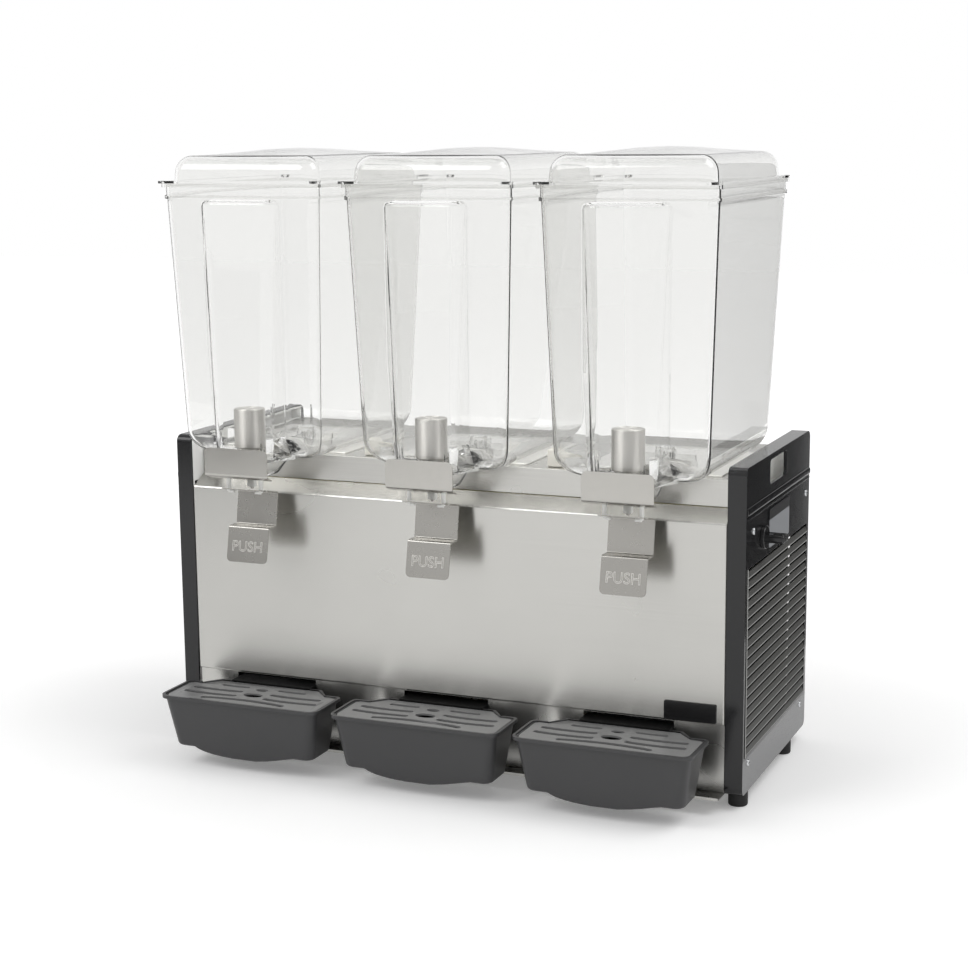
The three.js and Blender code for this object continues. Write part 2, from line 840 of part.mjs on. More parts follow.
function lid() {
  const flangeRing = (z) => roundedRing({
    z, half: lidHalf, front: lidFront, back: lidBack, radius: lidRadius,
  });
  const flange = loft([flangeRing(lidSkirtBottom), flangeRing(lidFlangeTop)]);
  const shell = joined(flange, loft(domeRings(domeInset, lidFlangeTop - sheet, 0)));
  const slack = 2 * clearance;
  const recessRing = (z) => roundedRing({
    z, half: rimHalf + slack, front: rimFront - slack, back: rimBack + slack, radius: rimRadius,
  });
  const recess = loft([recessRing(lidSkirtBottom - overrun), recessRing(rimTop + clearance)]);
  const hollow = loft(domeRings(domeInset + lidWall, rimTop - overrun, lidWall));
  return cut(shell, recess, hollow);
}

// Drip trays and grilles

function trayRing(z, share, shrink) {
  const taper = trayTaper * (1 - share);
  return roundedRing({
    z,
    half: trayHalf - trayRim - taper - shrink,
    front: trayFront + trayRim + taper + shrink,
    back: trayBack - trayRim - taper / 2 - shrink,
    radius: trayBackCorner,
    frontRadius: trayCorner - shrink,
  });
}

function trayRimRing(z, shrink) {
  return roundedRing({
    z, half: trayHalf - shrink, front: trayFront + shrink, back: trayBack - shrink,
    radius: trayBackCorner, frontRadius: trayCorner - shrink / 2,
  });
}

function belly(inset) {
  const ring = (z, half, grow) => roundedRing({
    z,
    half: half - inset,
    front: trayFront + trayRim + trayTaper - grow + inset,
    back: trayBack - trayRim - trayTaper - inset,
    radius: trayBackCorner,
    frontRadius: trayCorner - inset,
  });
  const top = trayBottom + inset + trayWall;
  return loft([ring(bellyBottom + inset, bellyHalf, 0), ring(top, bellyTopHalf, trayRim)]);
}

// The apron behind the rear rim carries the grille's tab, and the tongue that hangs the tray
function apronShape(inset, front, bottom, top) {
  const slope = (apronFrontHalf - apronRearHalf) / (apronRear - trayBack);
  const rear = apronRear - inset;
  const halfAt = (y) => apronRearHalf + (apronRear - y) * slope - inset;
  const outline = [
    [-halfAt(front), front], [halfAt(front), front], [halfAt(rear), rear], [-halfAt(rear), rear],
  ].map(([x, y]) => new THREE.Vector2(x, y));
  return prism(outline, 'z', bottom, top);
}

function trayTongue() {
  const front = apronRear - trayWall;
  const hollow = block(
    -tongueHalf + trayWall, tongueHalf - trayWall, front + trayWall, tongueReach + overrun,
    tongueBottom - overrun, tongueTop - 2 * trayWall,
  );
  return cut(block(-tongueHalf, tongueHalf, front, tongueReach, tongueBottom, tongueTop), hollow);
}

function dripTray() {
  const outside = joined(
    loft([trayRing(trayBottom, 0, 0), trayRing(trayTop - trayRim / 2, 1, 0)]),
    loft([trayRimRing(trayTop - trayRim, 0), trayRimRing(trayTop, 0)]),
    belly(0),
  );
  const ledge = trayTop - grilleDrop - clearance;
  const ledgeHalf = grilleLedge / 2;
  const cavity = joined(
    loft([
      trayRing(trayBottom + trayWall, 0, trayWall),
      trayRing(trayTop + overrun, 1, trayWall + ledgeHalf),
    ]),
    loft([
      trayRimRing(ledge, trayRim + ledgeHalf),
      trayRimRing(trayTop + overrun, trayRim + ledgeHalf),
    ]),
    belly(trayWall),
  );
  const apronFront = trayBack - trayRim - trayWall;
  const apron = apronShape(0, trayBack - trayRim / 2, ledge - trayRim, trayTop);
  const tabBed = apronShape(trayWall, apronFront, ledge, trayTop + overrun);
  return joined(cut(joined(outside, apron), cavity, tabBed), trayTongue());
}

// A grille slot follows a shallow wave, so its outline is a bent strip with a few steps
function waveSlot(x0, x1, y, rise, steps) {
  const line = Array.from({ length: steps + 1 }, (_, i) => {
    const share = i / steps;
    return [x0 + (x1 - x0) * share, y + rise * Math.sin(share * Math.PI)];
  });
  return prism(foldedOutline(line, 2 * traySlotHalfWidth), 'z', trayTop - overrun, trayTop + overrun);
}

function ovalHole(y, halfX) {
  const oval = new THREE.Shape();
  oval.absellipse(0, y, halfX, halfX * ovalFlatShare, 0, 2 * Math.PI);
  return prism(oval, 'z', trayTop - overrun, trayTop + overrun);
}

// Each slot runs from an inner to an outer share of the half width, at a share of the depth
const slotRowShares = [
  [0.18, 0.91, 0.46, -0.04],
  [0.20, 0.88, 0.75, -0.04],
  [0.21, 0.59, 1.07, -0.02],
];
const frontSlotShares = { half: 0.56, depth: 0.20, bow: 0.05 };
// Two oval holes on the middle line, each at a share of the depth and with a share of the half width
const ovalShares = [[0.63, 0.11], [0.99, 0.07]];
const ovalFlatShare = 0.7;

function grille() {
  const shrink = trayRim + grilleLedge / 2 + clearance;
  const top = trayTop - grilleDrop + grilleSheet;
  const half = trayHalf - shrink;
  const front = trayFront + shrink;
  const depth = trayBack - shrink - front;
  const bottom = trayTop - grilleDrop;
  const tab = apronShape(trayWall + clearance, trayBack - shrink - overrun, bottom, top);
  const plate = joined(loft([trayRimRing(bottom, shrink), trayRimRing(top, shrink)]), tab);
  const rows = slotRowShares.flatMap(([inner, outer, back, bow]) => [1, -1].map((side) => {
    const ends = [side * inner * half, side * outer * half].sort((a, b) => a - b);
    return waveSlot(...ends, front + back * depth, bow * depth, cornerSteps);
  }));
  const nearX = frontSlotShares.half * half;
  const nearY = front + frontSlotShares.depth * depth;
  const nearSlot = waveSlot(-nearX, nearX, nearY, frontSlotShares.bow * depth, 2 * cornerSteps);
  const ovals = ovalShares.map(([back, size]) => ovalHole(front + back * depth, size * half));
  return cut(plate, ...rows, nearSlot, ...ovals);
}

// Machinery

function coldPlate(x) {
  return block(x - coldHalf, x + coldHalf, coldFront, coldBack, coldTop - coldThickness, coldTop);
}

function stirrerMotor(x) {
  const top = coreTop;
  const bottom = top - motorHeight;
  return turned([
    [0, bottom], [motorRadius - sheet, bottom], [motorRadius, bottom + sheet],
    [motorRadius, top], [0, top],
  ], x, paddleY);
}

function foot(x, y) {
  return turned([
    [0, 0], [footRadius - sheet, 0], [footRadius, sheet],
    [footRadius, footHeight - clearance], [0, footHeight - clearance],
  ], x, y);
}

function compressor() {
  const bottom = panFloor + clearance;
  const dome = (from, direction) => Array.from({ length: cornerSteps + 1 }, (_, i) => {
    const turn = (i / cornerSteps) * Math.PI / 2;
    return [compressorRadius * Math.cos(turn), from + direction * compressorDome * Math.sin(turn)];
  });
  const low = bottom + sheet + compressorDome;
  const high = low + compressorWaist;
  const shell = turned([...dome(low, -1).reverse(), ...dome(high, 1)], compressorX, compressorY);
  const feet = block(
    compressorX - compressorRadius, compressorX + compressorRadius,
    compressorY - footRadius, compressorY + footRadius, bottom, bottom + 3 * sheet,
  );
  return joined(shell, feet);
}

function condenser() {
  const bottom = panFloor + clearance;
  const core = block(
    condenserX, condenserX + condenserDepth, condenserFront, condenserBack, bottom, bottom + condenserHeight,
  );
  const pitch = condenserHeight / (finCount + 1);
  const grooves = Array.from({ length: finCount }, (_, i) => block(
    condenserX - overrun, condenserX + condenserDepth / 4, condenserFront - overrun, condenserBack + overrun,
    bottom + (i + 1) * pitch - finGroove / 2, bottom + (i + 1) * pitch + finGroove / 2,
  ));
  return cut(core, ...grooves);
}

function fanShroud() {
  const bottom = panFloor + clearance;
  const plate = block(
    shroudFace, shroudFace + shroudSheet, condenserFront, condenserBack, bottom, bottom + condenserHeight,
  );
  return cut(plate, rod(shroudHole, 'x', shroudFace - overrun, shroudFace + overrun, fanY, fanZ, fineSides));
}

function fan() {
  const hub = rod(fanHub, 'x', fanFrom, fanTo, fanY, fanZ, mediumSides);
  const middle = (fanFrom + fanTo) / 2;
  const blades = Array.from({ length: fanBladeCount }, (_, i) => {
    const blade = new THREE.BoxGeometry(fanBlade, fanHubLength, fanRadius - fanHub / 2);
    blade.rotateZ(fanBladeTilt).translate(0, 0, (fanRadius + fanHub / 2) / 2);
    blade.rotateX((i / fanBladeCount) * 2 * Math.PI).translate(middle, fanY, fanZ);
    return solid(blade);
  });
  const bore = rod(fanShaft + runningGap, 'x', fanFrom - overrun, fanTo + overrun, fanY, fanZ);
  return cut(joined(hub, ...blades), bore);
}

function fanMotor() {
  const from = fanTo + shroudGap;
  const to = from + fanMotorLength;
  const post = block(
    from + sheet, to - sheet, fanY - fanPostHalf, fanY + fanPostHalf, panFloor + clearance, fanZ,
  );
  return joined(
    rod(fanMotorRadius, 'x', from, to, fanY, fanZ, mediumSides),
    rod(fanShaft, 'x', fanFrom, from + overrun, fanY, fanZ),
    post,
  );
}

// Controls

function thermostat() {
  const back = halfCase - sideSkin - clearance;
  return joined(
    block(
      back - thermostatDepth, back, knobY - thermostatHalf, knobY + thermostatHalf,
      knobZ - thermostatHalf, knobZ + thermostatHalf,
    ),
    rod(knobShaft, 'x', back - overrun, halfCase + knobSkirt + overrun, knobY, knobZ),
  );
}

function thermostatKnob() {
  const from = halfCase + clearance;
  const skirtEnd = from + knobSkirt;
  const end = skirtEnd + knobGrip;
  const grip = prism(
    roundedOutline(
      knobY - knobGripHalfLength, knobY + knobGripHalfLength, knobZ - knobGripHalfWidth,
      knobZ + knobGripHalfWidth, knobGripHalfWidth - clearance,
    ),
    'x', from + knobSkirt / 2, end,
  );
  const groove = block(
    skirtEnd + overrun, end + overrun, knobY - knobGripHalfLength / 2, knobY + knobGripHalfLength / 2,
    knobZ - knobGroove, knobZ + 2 * overrun,
  );
  const bore = rod(
    knobShaft + clearance, 'x', from - overrun, halfCase + knobSkirt + overrun + clearance, knobY, knobZ,
  );
  return cut(joined(rod(knobRadius, 'x', from, skirtEnd, knobY, knobZ, mediumSides), grip), groove, bore);
}

function switchHousing() {
  const front = rearPanelFront - switchDepth;
  const rim = rearPlateFront;
  const body = joined(
    block(
      switchX - switchHalfWidth, switchX + switchHalfWidth, front, rim + switchRim / 2,
      switchZ - switchHalfHeight, switchZ + switchHalfHeight,
    ),
    block(
      switchX - switchHalfWidth - switchRim, switchX + switchHalfWidth + switchRim, rim, rim + switchRim,
      switchZ - switchHalfHeight - switchRim, switchZ + switchHalfHeight + switchRim,
    ),
  );
  const wellHalf = switchHalfWidth - switchWall;
  const wellRise = switchHalfHeight - switchWall;
  const well = block(
    switchX - wellHalf, switchX + wellHalf, front + switchWall, rim + switchRim + overrun,
    switchZ - wellRise, switchZ + wellRise,
  );
  const pinHalf = wellHalf + switchWall / 2;
  const pin = rod(rockerPin, 'x', switchX - pinHalf, switchX + pinHalf, rockerAxisY, switchZ);
  return joined(cut(body, well), pin);
}

function rocker() {
  const halfX = switchHalfWidth - switchWall - clearance;
  const halfZ = switchHalfHeight - switchWall - rockerSlack;
  const face = rearPanelFront + switchRim;
  const lean = halfZ * Math.tan(rockerTilt);
  const outline = [
    [rockerAxisY - rockerDepth / 2, -halfZ / 2], [rockerAxisY - rockerDepth / 2, halfZ / 2],
    [face - lean, halfZ], [face, 0], [face + lean, -halfZ],
  ].map(([y, z]) => new THREE.Vector2(y, switchZ + z));
  const body = prism(outline.reverse(), 'x', switchX - halfX, switchX + halfX);
  const bore = rod(
    rockerPin + runningGap, 'x', switchX - halfX - overrun, switchX + halfX + overrun, rockerAxisY, switchZ,
  );
  return cut(body, bore);
}

function cordInlet() {
  const face = rearPlateFront;
  return cut(
    joined(
      rod(glandFlange, 'y', face, face + glandFlangeThickness, glandX, glandZ, mediumSides),
      rod(glandBody, 'y', face - glandLength, face + clearance, glandX, glandZ, mediumSides),
    ),
    rod(glandBore, 'y', face - glandLength - overrun, face + glandFlangeThickness + overrun, glandX, glandZ),
  );
}

// Small pieces on the case

function badgePlate() {
  return block(
    badgeLeft, badgeLeft + badgeWidth, -clearance - badgeThickness, -clearance,
    badgeBottom, badgeBottom + badgeHeight,
  );
}

function ratingLabel() {
  const from = halfCase + clearance;
  return block(
    from, from + labelSheet, labelFront, labelFront + labelLength, labelBottom, labelBottom + labelHeight,
  );
}

function bowlBlock(x) {
  const bottom = deckTop + clearance;
  const top = bottom + blockHeight;
  const right = x + blockHalf;
  const outline = [
    [x - blockHalf, bottom], [right, bottom], [right, top - blockChamfer],
    [right - blockChamfer, top], [x - blockHalf, top],
  ].map(([u, v]) => new THREE.Vector2(u, v));
  return prism(outline, 'y', blockFront, blockFront + blockDepth);
}

// Assembly

function assembleCase(parent) {
  place(parent, 'base_pan', basePan(), 'steel');
  place(parent, 'front_panel', frontPanel(), 'steel');
  place(parent, 'plinth_panel', plinthPanel(), 'steel');
  place(parent, 'rear_panel', rearPanel(), 'steel');
  place(parent, 'side_panel_left', sidePanel(-1), 'blackPlastic');
  place(parent, 'side_panel_right', cut(sidePanel(1), rightPanelHole()), 'blackPlastic');
  place(parent, 'deck_tray', deckTray(), 'steel');
  place(parent, 'insulated_core', insulatedCore(), 'foam');
  stations.forEach((x, i) => {
    place(parent, `cold_plate_${i + 1}`, coldPlate(x), 'steel');
    place(parent, `stirrer_motor_${i + 1}`, stirrerMotor(x), 'paintedSteel');
  });
  const footX = halfCase - footRadius;
  [[-footX, footFrontY], [footX, footFrontY], [-footX, footBackY], [footX, footBackY]]
    .forEach(([x, y], i) => place(parent, `foot_${i + 1}`, foot(x, y), 'rubber'));
}

function assembleMachinery(parent) {
  place(parent, 'compressor', compressor(), 'paintedSteel');
  place(parent, 'condenser', condenser(), 'aluminium');
  place(parent, 'fan_shroud', fanShroud(), 'aluminium');
  place(parent, 'fan_motor', fanMotor(), 'paintedSteel');
  place(parent, 'condenser_fan', fan(), 'blackPlastic');
}

function assembleControls(parent) {
  place(parent, 'thermostat', thermostat(), 'paintedSteel');
  place(parent, 'thermostat_knob', thermostatKnob(), 'blackPlastic');
  place(parent, 'switch_housing', switchHousing(), 'blackPlastic');
  place(parent, 'power_rocker', rocker(), 'blackPlastic');
  place(parent, 'cord_inlet', cordInlet(), 'blackPlastic');
  place(parent, 'badge_plate', badgePlate(), 'blackPlastic');
  place(parent, 'rating_label', ratingLabel(), 'label');
  stations.slice(1).forEach((x, i) => {
    place(parent, `bowl_block_${i + 1}`, bowlBlock(x - bowlPitch / 2), 'nylon');
  });
}

function assembleStation(parent, x, number) {
  const station = new THREE.Group();
  station.position.x = x;
  parent.add(station);
  place(station, `bowl_${number}`, bowl(), 'clearPlastic');
  place(station, `lid_${number}`, lid(), 'clearPlastic');
  place(station, `valve_weight_${number}`, valveWeight(), 'satinSteel');
  place(station, `valve_seal_${number}`, valveSeal(), 'silicone');
  place(station, `stirrer_paddle_${number}`, stirrerPaddle(), 'clearPlastic');
  place(station, `push_lever_${number}`, lever(), 'satinSteel');
  place(station, `guard_plate_${number}`, guardPlate(), 'satinSteel');
}

function assembleTray(parent, x, number) {
  const station = new THREE.Group();
  station.position.x = x;
  parent.add(station);
  place(station, `drip_tray_${number}`, dripTray(), 'greyPlastic');
  place(station, `drip_grille_${number}`, grille(), 'greyPlastic');
}

assembleCase(dispenser);
assembleMachinery(dispenser);
assembleControls(dispenser);
stations.forEach((x, i) => assembleStation(dispenser, x, i + 1));
trayStations.forEach((x, i) => assembleTray(dispenser, x, i + 1));

// The origin is moved to the middle of the whole outline, on the ground
const reachRight = halfCase + clearance + knobSkirt + knobGrip;
const reachLeft = -halfCase - ribProud;
const reachBack = rearPlateFront + glandFlangeThickness;
dispenser.position.set(-(reachRight + reachLeft) / 2, -(trayFront + reachBack) / 2, 0);

export default dispenser;
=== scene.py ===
import math
from contextlib import contextmanager

import bmesh
import bpy
from mathutils import Matrix, Vector


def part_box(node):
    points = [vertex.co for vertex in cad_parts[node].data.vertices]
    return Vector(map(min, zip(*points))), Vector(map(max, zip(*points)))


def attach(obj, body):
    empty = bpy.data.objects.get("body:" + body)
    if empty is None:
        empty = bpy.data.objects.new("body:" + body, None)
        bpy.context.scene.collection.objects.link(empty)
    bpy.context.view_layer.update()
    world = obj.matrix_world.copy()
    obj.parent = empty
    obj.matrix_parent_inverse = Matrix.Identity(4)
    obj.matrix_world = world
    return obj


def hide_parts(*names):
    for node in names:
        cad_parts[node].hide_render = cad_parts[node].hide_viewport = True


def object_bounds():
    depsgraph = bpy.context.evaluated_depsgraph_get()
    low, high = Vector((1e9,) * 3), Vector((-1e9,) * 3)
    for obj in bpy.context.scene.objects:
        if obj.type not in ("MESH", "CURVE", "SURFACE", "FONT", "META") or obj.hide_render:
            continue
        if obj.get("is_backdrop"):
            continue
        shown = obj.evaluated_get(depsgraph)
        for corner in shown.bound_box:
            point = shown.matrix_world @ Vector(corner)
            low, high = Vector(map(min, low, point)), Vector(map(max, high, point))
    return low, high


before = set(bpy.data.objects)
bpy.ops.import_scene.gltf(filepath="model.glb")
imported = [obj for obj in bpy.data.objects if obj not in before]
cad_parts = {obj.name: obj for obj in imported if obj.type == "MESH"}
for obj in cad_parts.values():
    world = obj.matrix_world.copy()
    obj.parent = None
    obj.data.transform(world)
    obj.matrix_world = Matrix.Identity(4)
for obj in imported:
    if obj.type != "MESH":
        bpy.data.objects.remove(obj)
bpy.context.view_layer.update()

# Refrigerated drink dispenser: three clear bowls on a brushed steel case.
# Sizes are millimetres from the case's own corner: x across from the case's middle line,
# y back from the case's front, z up from the ground.
MM = 0.001
deck_low, deck_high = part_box("deck_tray")
panel_low, panel_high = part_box("front_panel")
CASE_HALF = 320.0
SHEET_HALF = 300.4
CASE_MIDDLE = (deck_low.x + deck_high.x) / 2
CASE_FRONT = panel_low.y
BOWL_CENTRES = [-209.5, 0.0, 209.5]
TRAY_CENTRES = [-205.5, -3.0, 199.5]
VALVE_Y = -31.0
LOUVRE_LOW, LOUVRE_HIGH, LOUVRE_COUNT = 54.5, 246.0, 19
LOUVRE_FRONT, LOUVRE_BACK = 8.5, 254.0

# The camera that the photograph was fitted to: degrees, metres, and the lens in mm
CAMERA_AZIMUTH, CAMERA_ELEVATION, CAMERA_ROLL = 22.7992, 10.4172, -0.5221
CAMERA_DISTANCE, CAMERA_LENS, CAMERA_FILM = 1.98286, 72.08, 36.0
LOOKED_AT = (44.13, 0, 316.03)

# The clear walls take part of the light behind them, so through them it is a little above white
WHITE_THROUGH_WALLS = 1.12
MOST_BOUNCES = 24


def spot(x, y, z):
    return Vector((CASE_MIDDLE + x * MM, CASE_FRONT + y * MM, z * MM))


def in_case(point):
    return Vector(((point.x - CASE_MIDDLE) / MM, (point.y - CASE_FRONT) / MM, point.z / MM))


# ---------------------------------------------------------------- making pieces


def take(piece):
    bpy.ops.object.select_all(action="DESELECT")
    piece.select_set(True)
    bpy.context.view_layer.objects.active = piece
    return piece


def settle(piece):
    take(piece)
    bpy.ops.object.transform_apply(location=True, rotation=True, scale=True)
    return piece


def block(name, low, high):
    bpy.ops.object.select_all(action="DESELECT")
    a, b = spot(*low), spot(*high)
    bpy.ops.mesh.primitive_cube_add(size=1, location=(a + b) / 2)
    piece = bpy.context.object
    piece.name = name
    piece.scale = b - a
    return settle(piece)


def rod(name, radius, start, end, sides=48):
    bpy.ops.object.select_all(action="DESELECT")
    a, b = spot(*start), spot(*end)
    bpy.ops.mesh.primitive_cylinder_add(
        vertices=sides, radius=radius * MM, depth=(b - a).length, location=(a + b) / 2,
        rotation=(b - a).to_track_quat("Z", "Y").to_euler())
    piece = bpy.context.object
    piece.name = name
    return settle(piece)


@contextmanager
def editing(piece):
    take(piece)
    bpy.ops.object.mode_set(mode="EDIT")
    bpy.ops.mesh.select_all(action="DESELECT")
    yield
    bpy.ops.object.mode_set(mode="OBJECT")


def pick(kind, test):
    """Selects the faces, edges or corners that pass the test, which gets the middle in case sizes."""
    bpy.ops.mesh.select_mode(type=kind)
    bpy.ops.mesh.select_all(action="DESELECT")
    mesh = bmesh.from_edit_mesh(bpy.context.edit_object.data)
    parts = {"FACE": mesh.faces, "EDGE": mesh.edges, "VERT": mesh.verts}[kind]
    for part in parts:
        if kind == "FACE":
            chosen = test(in_case(part.calc_center_median()), part.normal)
        elif kind == "EDGE":
            a, b = in_case(part.verts[0].co), in_case(part.verts[1].co)
            chosen = test((a + b) / 2, (b - a).normalized())
        else:
            chosen = test(in_case(part.co))
        if chosen:
            part.select_set(True)
    mesh.select_flush_mode()
    bmesh.update_edit_mesh(bpy.context.edit_object.data)


def pick_all():
    bpy.ops.mesh.select_all(action="SELECT")


def shift(x, y, z):
    bpy.ops.transform.translate(value=Vector((x, y, z)) * MM)


def stretch(scale, about):
    bpy.ops.transform.resize(value=scale, center_override=spot(*about))


def extrude(x, y, z):
    bpy.ops.mesh.extrude_region_move(TRANSFORM_OT_translate={"value": Vector((x, y, z)) * MM})


def round_edges(width, steps=4):
    bpy.ops.mesh.bevel(offset=width * MM, offset_type="OFFSET", segments=steps, affect="EDGES",
                       clamp_overlap=True)


def slice_at(point, normal):
    pick_all()
    bpy.ops.mesh.bisect(plane_co=spot(*point), plane_no=Vector(normal).normalized())


def finish_with(piece, kind, **settings):
    take(piece)
    change = piece.modifiers.new(kind.title(), kind)
    for key, value in settings.items():
        setattr(change, key, value)
    bpy.ops.object.modifier_apply(modifier=change.name)
    return piece


def cut(piece, *tools):
    for tool in tools:
        finish_with(piece, "BOOLEAN", operation="DIFFERENCE", solver="EXACT", object=tool)
        bpy.data.objects.remove(tool)
    return piece


def unite(piece, *tools):
    for tool in tools:
        finish_with(piece, "BOOLEAN", operation="UNION", solver="EXACT", object=tool)
        bpy.data.objects.remove(tool)
    return piece


def join(piece, *others):
    bpy.ops.object.select_all(action="DESELECT")
    for other in others:
        other.select_set(True)
    piece.select_set(True)
    bpy.context.view_layer.objects.active = piece
    bpy.ops.object.join()
    return piece


def soften(piece, width, steps=3, angle=35):
    finish_with(piece, "BEVEL", width=width * MM, segments=steps, limit_method="ANGLE",
                angle_limit=math.radians(angle), harden_normals=False)
    return smooth(piece)


def smooth(piece, angle=35):
    """Smooth over the rounded edges, while each flat keeps its own direction."""
    take(piece)
    bpy.ops.object.shade_smooth_by_angle(angle=math.radians(angle))
    return finish_with(piece, "WEIGHTED_NORMAL", weight=50, keep_sharp=True)


def thicken(piece, wall, offset=-1):
    return finish_with(piece, "SOLIDIFY", thickness=wall * MM, offset=offset, use_even_offset=True)


def copy_to(piece, name, x=0, y=0, z=0):
    twin = piece.copy()
    twin.data = piece.data.copy()
    twin.name = name
    bpy.context.scene.collection.objects.link(twin)
    twin.location = Vector((x, y, z)) * MM
    return settle(twin)


def folded_strip(name, low_x, high_x, line, bend):
    """A strip of sheet bent along x: it starts as its first leg and grows a leg at each fold."""
    bpy.ops.object.select_all(action="DESELECT")
    first, second = (Vector((0, y, z)) for y, z in line[:2])
    leg = second - first
    bpy.ops.mesh.primitive_plane_add(size=1, location=spot(
        (low_x + high_x) / 2, (first.y + second.y) / 2, (first.z + second.z) / 2))
    piece = bpy.context.object
    piece.name = name
    piece.scale = ((high_x - low_x) * MM, leg.length * MM, 1)
    piece.rotation_euler = (math.atan2(leg.z, leg.y), 0, 0)
    settle(piece)
    with editing(piece):
        for here, there in zip(line[1:], line[2:]):
            pick("EDGE", lambda middle, along: abs(middle.y - here[0]) < 0.01
                 and abs(middle.z - here[1]) < 0.01 and abs(along.x) > 0.9)
            extrude(0, there[0] - here[0], there[1] - here[1])
        folds = line[1:-1]
        pick("EDGE", lambda middle, along: abs(along.x) > 0.9 and any(
            abs(middle.y - y) < 0.01 and abs(middle.z - z) < 0.01 for y, z in folds))
        if folds:
            round_edges(bend, 5)
        pick_all()
        bpy.ops.mesh.normals_make_consistent(inside=False)
    return piece


def pushed(name, corners, x=0, y=0, z=0):
    """A solid made of one flat face, given by its corners, that is pushed through by x, y or z."""
    bpy.ops.object.select_all(action="DESELECT")
    bpy.ops.mesh.primitive_circle_add(vertices=len(corners), radius=MM, fill_type="NGON")
    piece = bpy.context.object
    piece.name = name
    settle(piece)
    for corner, place in zip(piece.data.vertices, corners):
        corner.co = spot(*place)
    with editing(piece):
        pick_all()
        extrude(x, y, z)
        pick_all()
        bpy.ops.mesh.normals_make_consistent(inside=False)
    return piece


def pushed_across(name, half, outline):
    """A solid whose outline in (y, z) runs across x, to the same distance on both sides."""
    return pushed(name, [(-half, y, z) for y, z in outline], x=2 * half)


def pushed_up(name, low, high, outline):
    """A solid whose outline in (x, y) rises from one height to another."""
    return pushed(name, [(x, y, low) for x, y in outline], z=high - low)


def across(hand, a, b):
    """Two places on x, on the side that hand names (1 is right, -1 is left), the lower first."""
    return sorted((hand * a, hand * b))


def round_corners(piece, test, radius, steps=6):
    with editing(piece):
        pick("VERT", test)
        bpy.ops.mesh.bevel(offset=radius * MM, offset_type="OFFSET", segments=steps, affect="VERTICES")


# ---------------------------------------------------------------- finishes


def linear(code):
    """An sRGB hex colour as the linear colour that shaders take."""
    parts = [int(code[i:i + 2], 16) / 255 for i in (1, 3, 5)]
    return [p / 12.92 if p <= 0.04045 else ((p + 0.055) / 1.055) ** 2.4 for p in parts] + [1.0]


def add(tree, kind, links=None, **settings):
    """A node with its settings; links fills its inputs with values or with another node's output."""
    node = tree.nodes.new(kind)
    for key, value in settings.items():
        setattr(node, key, value)
    for key, value in (links or {}).items():
        if isinstance(value, bpy.types.NodeSocket):
            tree.links.new(value, node.inputs[key])
        else:
            node.inputs[key].default_value = value
    return node


def finish_named(name):
    material = bpy.data.materials.new(name)
    material.use_nodes = True
    tree = material.node_tree
    tree.nodes.clear()
    return material, tree


def close(tree, shader):
    add(tree, "ShaderNodeOutputMaterial", {"Surface": shader.outputs[0]})


def fine_grain(tree, grain_mm, share):
    """Noise whose grain is that size, and a bump made of it."""
    place = add(tree, "ShaderNodeTexCoord")
    noise = add(tree, "ShaderNodeTexNoise", {
        "Vector": place.outputs["Object"], "Scale": 1 / (grain_mm * MM),
        "Detail": 3.0, "Roughness": 0.55})
    return noise, add(tree, "ShaderNodeBump", {
        "Height": noise.outputs["Fac"], "Strength": share, "Distance": grain_mm * MM * 0.25})


def brushed_steel(name, colour, along, across, rough=0.27, streak=1.0):
    """Stainless steel sheet, belt-ground along one axis: long fine scratches that draw highlights
    out across the grain. The belt's grit lines are about 0.15 mm, drawn here at 0.6 mm to show."""
    material, tree = finish_named(name)
    place = add(tree, "ShaderNodeTexCoord")
    run, fine = 1 / 0.16, 1 / (0.6 * MM)
    scale = {"x": (run, fine, fine), "y": (fine, run, fine), "z": (fine, fine, run)}[along]
    stretched = add(tree, "ShaderNodeMapping", {"Vector": place.outputs["Object"], "Scale": scale})
    scratches = add(tree, "ShaderNodeTexNoise", {
        "Vector": stretched.outputs["Vector"], "Scale": 1.0, "Detail": 3.0, "Roughness": 0.6})
    clouds = add(tree, "ShaderNodeTexNoise", {
        "Vector": place.outputs["Object"], "Scale": 9.0, "Detail": 2.0, "Roughness": 0.5})
    tone = add(tree, "ShaderNodeMapRange", {
        "Value": scratches.outputs["Fac"], "From Min": 0.3, "From Max": 0.7,
        "To Min": 1 - 0.05 * streak, "To Max": 1 + 0.03 * streak})
    hue = add(tree, "ShaderNodeMix", {"Factor": 1.0}, data_type="RGBA", blend_type="MULTIPLY")
    hue.inputs[6].default_value = linear(colour)
    tree.links.new(tone.outputs["Result"], hue.inputs[7])
    shine = add(tree, "ShaderNodeMapRange", {
        "Value": clouds.outputs["Fac"], "From Min": 0.3, "From Max": 0.7,
        "To Min": rough - 0.02, "To Max": rough + 0.03})
    relief = add(tree, "ShaderNodeBump", {
        "Height": scratches.outputs["Fac"], "Strength": 0.035 * streak, "Distance": 0.00008})
    drawn = add(tree, "ShaderNodeCombineXYZ", {"XYZ".index(across.upper()): 1.0})
    shader = add(tree, "ShaderNodeBsdfPrincipled", {
        "Base Color": hue.outputs[2], "Metallic": 1.0, "Roughness": shine.outputs["Result"],
        "Anisotropic": 0.7, "Normal": relief.outputs["Normal"], "Tangent": drawn.outputs["Vector"]})
    close(tree, shader)
    return material


